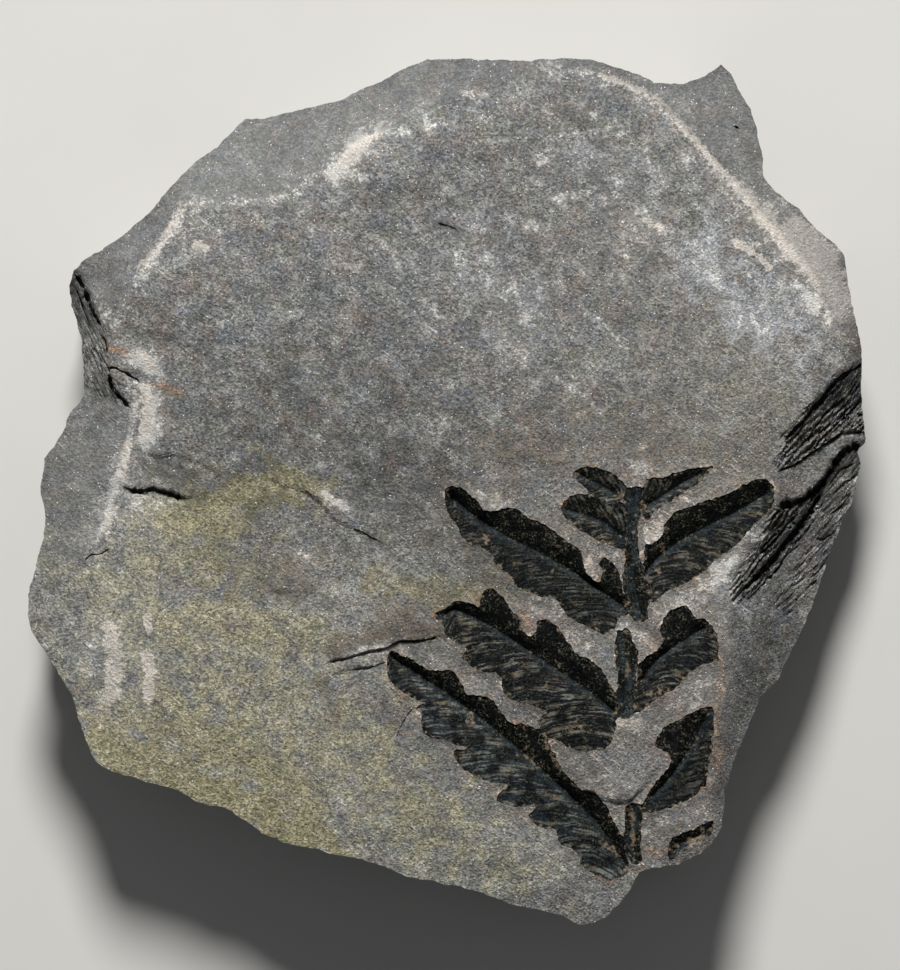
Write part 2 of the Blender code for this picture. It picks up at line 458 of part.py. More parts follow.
def slab_mesh():
    """Corners and faces of the whole slab: face, ragged sides and flat underside."""
    form = broad_form()
    edge = placed(OUTLINE)[:, :2]
    lines = drawn_lines()
    points, pairs = [edge], chain(edge, 0, closed=True)
    count = len(edge)
    for line, closed in lines:
        pairs += chain(line, count, closed)
        points.append(line)
        count += len(line)
    points.append(grid_points(edge, lines))
    plan, faces = triangulated(np.vstack(points), pairs)
    heights = face_height(plan, form) - bed_depth(plan)
    corners = np.column_stack((plan, heights))

    rim = open_loop(faces)
    rim_corners = corners[rim]
    ring_above = list(rim)
    for ring, (share, inset) in enumerate(SIDE_RINGS):
        first = len(corners)
        corners = np.vstack((corners, side_ring(rim_corners, share, inset, ring)))
        ring_below = list(range(first, first + len(rim)))
        for k in range(len(rim)):
            n = (k + 1) % len(rim)
            faces.append((ring_above[k], ring_below[k], ring_below[n]))
            faces.append((ring_above[k], ring_below[n], ring_above[n]))
        ring_above = ring_below
    base, base_faces = triangulated(corners[ring_above][:, :2], chain(ring_above, 0, closed=True))
    gaps = np.linalg.norm(base[:, None, :] - corners[ring_above][None, :, :2], axis=2)
    match = gaps.argmin(axis=1)
    faces += [tuple(ring_above[match[k]] for k in reversed(face)) for face in base_faces]
    return corners, faces


def film_mesh(piece, form):
    """Corners and faces of one piece of the frond: an even skin that follows its trough."""
    margin, rib = placed(piece["margin"]), placed(piece["rib"])
    points = np.vstack((margin, rib))
    pairs = chain(margin, 0, closed=True) + chain(rib, len(margin))
    plan, faces = triangulated(points, pairs)
    top = face_height(plan, form) - film_depth(plan, piece)
    corners = np.vstack((np.column_stack((plan, top)), np.column_stack((plan, top - FILM_THICKNESS))))
    count = len(plan)
    rim = open_loop(faces)
    under = [tuple(v + count for v in reversed(face)) for face in faces]
    walls = []
    for k, here in enumerate(rim):
        following = rim[(k + 1) % len(rim)]
        walls.append((here, here + count, following + count))
        walls.append((here, following + count, following))
    return corners, faces + under + walls


# ---- Blender objects ---------------------------------------------------------------------------------
def clear_scene():
    for old in list(bpy.data.objects):
        bpy.data.objects.remove(old, do_unlink=True)


def plain_material(name, colour, roughness):
    material = bpy.data.materials.new(name)
    material.use_nodes = True
    shader = material.node_tree.nodes["Principled BSDF"]
    shader.inputs["Base Color"].default_value = colour
    shader.inputs["Roughness"].default_value = roughness
    shader.inputs["Metallic"].default_value = 0.0
    return material


def add_object(name, corners, faces, material, parent):
    mesh = bpy.data.meshes.new(name)
    mesh.from_pydata([tuple(corner * MM) for corner in corners], [], faces)
    mesh.materials.append(material)
    mesh.update()
    made = bpy.data.objects.new(name, mesh)
    bpy.context.scene.collection.objects.link(made)
    made.parent = parent
    return made


def build():
    clear_scene()
    plate = bpy.data.objects.new("fern_plate", None)
    bpy.context.scene.collection.objects.link(plate)
    corners, faces = slab_mesh()
    add_object("shale_slab", corners, faces, plain_material("grey_shale", SHALE_COLOUR, 0.85), plate)
    form = broad_form()
    for name, piece in FROND.items():
        corners, faces = film_mesh(piece, form)
        film = plain_material(name + "_carbon_film", FILM_COLOUR, 0.45)
        add_object(name, corners, faces, film, plate)


build()
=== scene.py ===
import math
import bpy
import numpy as np
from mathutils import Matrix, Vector, noise
from mathutils.bvhtree import BVHTree
from mathutils.geometry import delaunay_2d_cdt


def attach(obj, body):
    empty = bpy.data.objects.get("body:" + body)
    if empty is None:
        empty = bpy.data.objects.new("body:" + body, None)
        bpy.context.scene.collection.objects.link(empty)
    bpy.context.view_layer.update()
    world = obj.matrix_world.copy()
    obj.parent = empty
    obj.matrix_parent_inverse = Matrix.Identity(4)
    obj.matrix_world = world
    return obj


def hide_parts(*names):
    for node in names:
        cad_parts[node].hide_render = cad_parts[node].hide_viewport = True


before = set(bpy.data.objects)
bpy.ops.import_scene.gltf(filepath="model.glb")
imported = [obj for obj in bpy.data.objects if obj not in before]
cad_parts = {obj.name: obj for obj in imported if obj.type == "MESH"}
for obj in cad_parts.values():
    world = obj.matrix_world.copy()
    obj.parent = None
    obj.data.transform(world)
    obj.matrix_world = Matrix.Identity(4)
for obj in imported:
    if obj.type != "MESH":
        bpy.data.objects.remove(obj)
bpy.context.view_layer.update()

mm = 0.001
rowShare = 0.866              # rows of a staggered grid lie this share of its step apart
ledgeWall = 0.12              # half the width of the wall at a small ledge
aboveAll = 50                 # heights are read by rays that come down from here
dice = np.random.RandomState(11)

# The plan is drawn in millimetres on a sheet seen from above, x to the right and y down.
# A third number is a height above the underside.
slab = {
    "faceStep": 0.42,         # spacing of the face's points
    "fineStep": 0.25,         # the same beside the fern, the ledges and the steep break
    "splitStep": 0.15,        # where the stone has split into leaves
    "bedStep": 0.6,           # and under the fern, where it doesn't show
    "edgeStep": 0.4,
    "underStep": 1.3,
    "softBlur": 0.6,          # how far the open face's creases are rounded
    "crispBlur": 0.4,         # and those of the steep break and the notch
    "swell": (0.22, 13.0),    # height and length of the gentle swells
    "lineation": (0.05, -35), # height of the faint grooves across the face, and their angle
    "flakes": 0.06,           # height of the thin steps where the stone split
    "grain": 0.035,
    "coarse": 0.07,           # extra roughness of the weathered lower left
    "lip": 0.10,              # how far the stone stands up beside the fern
    "wallRows": 30,           # rows of points down the broken sides
    "fineNear": (1.4, 1.1),   # the face is finer this near the fern, and this near a ledge or crack
    "splitNear": 0.5,         # and finest this near a broken place
    "chips": (0.2, 0.14),     # how far large and small chips bite into the edge
    "hollows": (0.25, 0.05),  # depth of the broad and small hollows of the underside
    "edge": [
        (24.3, 11.6, 9.2), (26.2, 11.6, 9.4), (30, 10.7, 9.8), (34, 9.8, 10.6), (35.8, 8.8, 10.9),
        (38, 8, 11.2), (39.5, 7, 11.1), (42.5, 5.7, 10.9), (47, 5.7, 11.9), (52, 5.9, 12.6),
        (56, 5.7, 12.9), (59, 5.8, 13), (60.5, 6.2, 13), (62.5, 6.9, 13), (64, 7.3, 13),
        (65.5, 8.1, 12.8), (68, 8.2, 12.4), (70, 7.7, 12), (71.2, 6.9, 11.7), (72.2, 6.2, 11.5),
        (73.3, 7.2, 11.5), (74.2, 9.2, 11.8), (75.2, 10.8, 12), (75.8, 12.8, 12.3), (76.3, 15, 12.6),
        (76.6, 17.5, 12.8), (77.3, 18.7, 12.9), (79, 20, 13), (80, 20.8, 13), (80.8, 21.9, 12.9),
        (82, 23, 12.9), (83.8, 24.4, 12.7), (84.6, 25.5, 12.6), (84.8, 27, 12.5), (85.2, 29.5, 12.5),
        (85.6, 31.5, 12.4), (86.2, 34, 12), (86.5, 36.2, 10.6), (86.4, 38.5, 9.2), (86.6, 41, 8.2),
        (87, 43.5, 7.6), (86.9, 44.3, 7.4), (86.2, 45.2, 7.4), (86.6, 46.2, 7.2), (86.2, 47.5, 7.3),
        (85.8, 50, 7.5), (84.8, 51.8, 7.8), (84.2, 53.5, 8), (83.6, 54.8, 8.2), (82.6, 57.5, 8.5),
        (82, 59.5, 8.7), (80.8, 62.5, 9), (79.5, 65, 9.2), (78.3, 67.8, 9.5), (76.2, 70, 10.1),
        (75, 72.8, 10.6), (74.2, 74.8, 11), (73.5, 76.5, 11.3), (72.7, 79, 11.8), (72.5, 81.5, 12.2),
        (72.2, 83, 12.4), (71.3, 84.5, 12.5), (70, 85.6, 12.6), (68, 86.6, 12.7), (65, 87, 12.8),
        (64, 87.4, 12.8), (63.5, 88.2, 12.8), (63, 89.3, 12.8), (62, 90.5, 12.8), (60.8, 91.8, 12.6),
        (59.5, 92.5, 12.5), (58, 92.7, 12.4), (56.2, 91.8, 12.5), (54, 91.2, 12.6), (52, 90.8, 12.7),
        (50, 90.2, 12.8), (48, 89.3, 12.8), (45.5, 88.8, 12.9), (43, 88.2, 12.9), (40.5, 87.8, 13),
        (38.5, 86.8, 13), (36, 86, 13), (33, 85.5, 13), (31, 84.9, 13), (28.5, 84.5, 12.9),
        (26.2, 83.5, 12.9), (24.5, 82.2, 12.9), (22.2, 80.8, 12.8), (20.3, 80.6, 12.7),
        (18.5, 79.7, 12.7), (16.5, 78.8, 12.6), (14.5, 78.3, 12.6), (12, 77.6, 12.5), (9.7, 76.6, 12.4),
        (8.8, 75.2, 12.3), (8.2, 73.5, 12.2), (7.7, 72, 12.2), (7.2, 70, 12.1), (6.2, 68.3, 12),
        (5, 66.3, 11.9), (3.8, 64.5, 11.8), (3, 63.2, 11.7), (2.5, 61.5, 11.6), (2.6, 59.5, 11.5),
        (3, 57.8, 11.5), (3.5, 56, 11.5), (4, 54, 11.5), (4.4, 52, 11.5), (4.2, 50.5, 11.4),
        (3.8, 49.2, 11.3), (4, 47.5, 11.3), (4.2, 45.8, 11.3), (5.2, 44.5, 11.3), (6, 43.2, 11.3),
        (6.6, 41.5, 11.2), (7.6, 40.2, 11.2), (8.2, 39.5, 11.1), (8.2, 38, 10.7), (8, 36, 9.9),
        (7.8, 34, 9), (7.4, 32.5, 8.2), (6.8, 30.5, 7.8), (6.6, 28.5, 8.6), (7, 27, 10.2),
        (8.2, 25.8, 10.8), (10, 24.8, 11.4), (12, 23.5, 11.8), (13.5, 22.2, 11.9), (15, 21, 12.2),
        (16, 19.7, 12.8), (18, 17.5, 12.4), (19.5, 16, 11.8), (21.5, 14.5, 10.8), (23.2, 12.8, 9.8)],
    "creases": {
        "rimCrest": [
            (11, 33.2, 13.7), (11.3, 31.8, 13.9), (12, 30, 14), (13.3, 28, 14.2), (15, 25.8, 14.3),
            (16.5, 23.5, 14.4), (17.8, 21.2, 14.4), (19.2, 20.3, 14.5), (22.5, 20.3, 14.5),
            (26, 19.9, 14.5), (29, 19.4, 14.5), (30.8, 17.8, 14.5), (33, 16.3, 14.5), (35.2, 14.5, 14.5),
            (37.2, 13.5, 14.4), (40, 12.8, 14.4), (42.8, 11.4, 14.3), (45.5, 9.8, 14.2), (48, 8.8, 14),
            (51, 8, 13.8), (54, 7.3, 13.6), (57, 7, 13.5), (60, 7.4, 13.6), (62.5, 8.4, 13.8),
            (64.5, 9.5, 14), (66, 10.8, 14.1), (68, 12.6, 14.2), (70, 14.5, 14.3), (72, 16.8, 14.3),
            (74, 19, 14.3), (76, 21.5, 14.2), (78.5, 24, 14.1), (80, 25.8, 14), (81.5, 28, 13.9),
            (82.2, 30, 13.8), (83.5, 32.5, 13.6), (84.5, 35, 13.3)],
        "innerBrow": [
            (15.5, 33, 14.6), (17.5, 28, 14.8), (20.5, 23.8, 14.9), (27, 22.8, 14.9), (33, 20, 14.9),
            (40, 16, 14.9), (47, 12.5, 14.7), (54, 10.5, 14.4), (60, 11, 14.4), (65, 14.5, 14.6),
            (70.5, 20, 14.7), (75.5, 26, 14.6), (79, 31, 14.4), (81, 35, 14.3)],
        "notchRim": [
            (8.2, 28.6, 10.9), (9.5, 31, 12.5), (10.5, 33.6, 13.3)],
        "leftRim": [
            (10.9, 36, 13.7), (11.3, 38, 13.8), (12.6, 40.3, 13.9), (13.3, 41.6, 14), (12.8, 44, 13.9),
            (11.8, 47, 13.8), (10.8, 50, 13.6), (10, 53, 13.4), (9.2, 55.5, 13.2), (8.3, 58.5, 12.9)],
        "rightDropTop": [
            (85.3, 36.8, 12.8), (84, 37.5, 13.4), (81.3, 39.8, 13.9), (80, 42, 14), (78.7, 43.8, 14),
            (77.9, 46.5, 13.9), (78.2, 49, 13.6), (77.9, 51, 13.5), (76.4, 53.2, 13.5), (74.6, 55, 13.6),
            (73.6, 57, 13.7)],
        "rightDropFoot": [
            (85.6, 39.6, 10.2), (84.3, 40.9, 10.9), (83, 42.5, 11.3), (81.7, 44.4, 11.6),
            (80.7, 46.6, 11.8), (80.2, 49, 11.8), (79.4, 51.4, 11.8), (77.6, 53.8, 12.1),
            (75.8, 55.9, 12.6)],
        "benchEdge": [
            (85.6, 44.2, 9.5), (83.9, 46, 10.1), (82.8, 48, 10.5), (81.5, 50.2, 10.8),
            (79.8, 52.4, 11.1), (78, 54.8, 11.5)],
        "benchFoot": [
            (85.5, 46.2, 8.3), (84.4, 48, 8.9), (83.3, 50.2, 9.2), (82, 52.4, 9.5), (80.2, 54.6, 10),
            (78.2, 57, 10.8)],
        "fernSideRim": [
            (72.9, 60, 13.7), (72.6, 63, 13.7), (72.6, 66, 13.7), (72.5, 70, 13.6), (72.2, 74, 13.5),
            (71.9, 78, 13.4), (71.5, 81.5, 13.2)],
    },
    "faceHeights": [
        (22, 30, 15), (30, 27, 15.1), (40, 22, 15.1), (50, 17, 15), (58, 17, 14.9), (68, 24, 15),
        (74, 33, 14.9), (60, 29, 15.3), (48, 33, 15.4), (34, 35, 15.2), (20, 37, 14.8), (16, 44, 14.6),
        (28, 43, 15), (42, 43, 15.1), (55, 41, 15.3), (68, 38, 15), (76, 41, 14.6), (17, 48, 14.4),
        (36, 50, 14.8), (60, 46, 14.9), (70, 45.5, 14.7), (44, 55, 14.6), (42, 62, 14.4), (33, 58, 14.3),
        (24, 56, 14.3), (15, 57, 14), (12, 65, 13.7), (22, 66, 14), (32, 67, 14.1), (15, 73, 13.4),
        (26, 75, 13.7), (36, 77, 13.9), (44, 80, 13.9), (34, 82, 13.5), (50, 85, 13.6), (57, 89, 13.2),
        (54, 61, 14.4), (64, 53, 14.4), (66, 61, 14.3), (64, 71, 14.2), (58, 76, 14.2), (66, 82, 13.6),
        (70, 83.5, 13.3)],
}

# Ledges of the bedding: the face stands higher on the left of each line.
ledges = [
    {"line": [(11.2, 47.6), (12.2, 48.5), (12.8, 48.9), (14, 49.2), (16, 49.2), (18, 49.7), (20.5, 49.3),
              (22.5, 48.7), (24, 48.2), (26.2, 47.8), (29, 48.6), (30.5, 49.1), (32, 50.3),
              (33.5, 51.9), (35, 52.7), (36.2, 53.4), (37.8, 54.1), (39.5, 54.8)],
     "drop": (0, 0.2, 0.45, 0.5, 0.4, 0.15, 0.06, 0.05, 0.05, 0.1, 0.15, 0.3, 0.3, 0.3, 0.22, 0.2,
              0.12, 0),
     "reach": 5.0},
    {"line": [(32.5, 66.2), (34.5, 65.8), (36.5, 65.2), (38.5, 64.8), (40, 64.1), (42, 64.1),
              (44, 63.7), (45.2, 63.2)],
     "drop": (0, 0.2, 0.3, 0.36, 0.36, 0.3, 0.15, 0), "reach": 5.0},
    {"line": [(56.4, 75), (57.6, 77.6), (59.8, 79.6), (62.4, 80.2), (64, 79), (65.4, 77.3), (66.8, 75.6)],
     "drop": (0, 0.12, 0.2, 0.3, 0.35, 0.25, 0), "reach": 4.0},
    {"line": [(78.2, 44.4), (80, 42.3), (81.6, 40.3), (83.6, 38), (85, 36.9), (86.4, 36)],
     "drop": (0, 0.3, 0.45, 0.45, 0.4, 0.25), "reach": 0.9},
    {"line": [(77.8, 47.1), (79.6, 46.4), (81.8, 44.9), (84.3, 43.3), (86.4, 43)],
     "drop": (0, 0.4, 0.5, 0.5, 0.4), "reach": 0.7},
    {"line": [(77.8, 50.9), (80.4, 50), (82.3, 48.3), (83.6, 46.3), (84.6, 45), (86.4, 44.2)],
     "drop": (0.1, 0.8, 1.3, 1.3, 0.9, 0.5), "reach": 1.0},
    {"line": [(74.6, 58.6), (77.2, 55.6), (79.4, 53), (81.2, 50.6), (82.4, 48.8)],
     "drop": (0, 0.5, 0.7, 0.6, 0.2), "reach": 0.9},
    {"line": [(13.8, 44.4), (15.6, 45.6), (17.5, 45.4), (20.2, 46.4), (22.4, 47.6)],
     "drop": (0, 0.25, 0.2, 0.2, 0), "reach": 1.6},
    {"line": [(33, 69.2), (33.4, 67.6), (34.6, 67), (36.6, 66.8), (38.4, 66.6)],
     "drop": (0, 0.22, 0.25, 0.2, 0), "reach": 1.4},
    {"line": [(42.4, 70.4), (41, 71.6), (39.8, 73.2), (39.2, 74.6)],
     "drop": (0.1, 0.2, 0.18, 0), "reach": 1.5},
    {"line": [(26, 57.6), (27.4, 58.9), (29.2, 59.2), (30.6, 60.4)],
     "drop": (0, 0.16, 0.14, 0), "reach": 1.5},
]

# Open cracks and gaps: the line, half the width, and the depth.
cracks = [
    (0.26, 1.6, [(12.6, 48.7), (13.2, 49.1), (14.2, 49.15), (15.2, 48.9), (16.4, 49.2), (18.1, 49.8)]),
    (0.2, 1.1, [(6.9, 26.7), (7.5, 27.6), (8.3, 28.9)]),
    (0.24, 1.3, [(8.3, 28.9), (8.9, 30.6), (10, 32.5)]),
    (0.1, 0.7, [(7.4, 28.8), (8, 30.4), (8.9, 32.6)]),
    (0.11, 0.9, [(10.3, 33.6), (10.6, 34.4), (10.7, 35.2)]),
    (0.15, 1.1, [(10.8, 36.8), (11.6, 36.8), (12.4, 37.2), (13.2, 37.7), (13.9, 38.1)]),
    (0.2, 1.3, [(10.9, 37.6), (11.1, 38.8), (11.9, 39.7), (12.9, 40.6)]),
    (0.1, 0.5, [(8.4, 56), (9.1, 55.5), (10, 55.4), (10.9, 54.9)]),
    (0.13, 0.5,
     [(32.8, 66.3), (34.5, 65.9), (36.6, 65.3), (38.6, 64.8), (40, 64.1), (42, 64.1), (43.6, 63.8)]),
    (0.08, 0.3, [(35.4, 67), (37, 66.8), (38.6, 66.2)]),
    (0.08, 0.25, [(41.2, 70.9), (40.3, 72.2), (39.6, 73.8)]),
    (0.1, 0.4, [(35.4, 52.9), (36.4, 53.3), (37.9, 54.1)]),
    (0.09, 0.25, [(43.8, 22.4), (44.8, 22.6), (45.8, 23.1)]), (0.15, 0.5, [(73.4, 12.5), (73.9, 12.8)]),
    (0.22, 1.3, [(86.3, 36.4), (84.9, 37.2), (83.6, 38.1), (81.9, 40.3), (80.1, 42.4), (78.7, 43.8)]),
    (0.12, 0.6, [(84.6, 39.6), (82.4, 41.6), (80.6, 44.2)]),
    (0.1, 0.5, [(86.2, 40.2), (84.2, 42), (82.6, 43.8)]),
    (0.14, 0.9, [(86.7, 43.2), (84.4, 43.3), (81.9, 44.9), (79.7, 46.4), (77.9, 47.1)]),
    (0.42, 2.2, [(86.2, 44.4), (84.7, 45), (83.6, 46.4), (82.3, 48.4), (80.5, 49.9), (78, 50.7)]),
    (0.26, 1.2, [(82.3, 49.4), (81.2, 51.1), (79.4, 53.5), (77.2, 56.1), (74.6, 58.9)]),
    (0.14, 0.7, [(79.8, 51.4), (78.2, 53.2), (76.2, 55.4)]),
    (0.12, 0.5, [(78.4, 56.2), (76.8, 58), (75.2, 59.6)]),
    (0.13, 0.6, [(85.6, 46.4), (84.2, 47), (83.2, 48.4)]),
    (0.1, 0.5, [(86, 47.6), (84.8, 48.2), (83.6, 49.4)]),
    (0.1, 0.45, [(85.4, 49.4), (84.4, 50.6), (83.4, 51.4)]),
    (0.14, 0.5, [(83.6, 53.4), (82.6, 54), (81.8, 53.9)]),
    (0.09, 0.35, [(83.2, 55.6), (82.2, 57), (81.4, 57.8)]),
]

# Where the stone has broken across its leaves: the outline of the place, the way the leaves run in
# degrees, how far apart their edges are, and how far each stands out over the next.
breaks = [
    {"outline": [(87, 35.6), (84.4, 36.6), (81.9, 39.2), (80, 41.6), (78.3, 43.6), (77.3, 47),
                 (79.6, 46.4), (81.8, 44.9), (84.3, 43.3), (87, 43.1), (87.4, 41.5), (87.2, 38)],
     "run": 46, "gap": 0.52, "step": 0.54, "smooth": 0.5, "mark": "split"},
    {"outline": [(77.7, 50.6), (80.4, 49.9), (82.1, 48.5), (82.8, 49.8), (81.6, 52.2), (79.8, 54.8),
                 (77.5, 57.7), (74.4, 60.8), (72.9, 60.2), (73.2, 58), (74.8, 55.4), (76.2, 53)],
     "run": 50, "gap": 0.5, "step": 0.5, "smooth": 0.5, "mark": "split"},
    {"outline": [(83.8, 46), (86, 44.7), (87.2, 47), (86.3, 50.4), (84.4, 54.6), (82.2, 58.6),
                 (79, 62), (77.4, 61), (78.4, 57.8), (80.4, 54.8), (82, 52), (82.8, 49)],
     "run": 44, "gap": 0.6, "step": 0.17, "smooth": 0.6, "mark": "split"},
    {"outline": [(6.9, 26.6), (8, 27.2), (9.2, 29.6), (10.2, 32.4), (10.7, 34.7), (10.9, 36.5), (12.9, 40.4),
                 (11.6, 40.8), (9.8, 39.8), (8.2, 39), (7.6, 35), (6.8, 32), (6.2, 29.2)],
     "run": -63, "gap": 0.42, "step": 0.17, "smooth": 0.5, "mark": "cleft"},
]

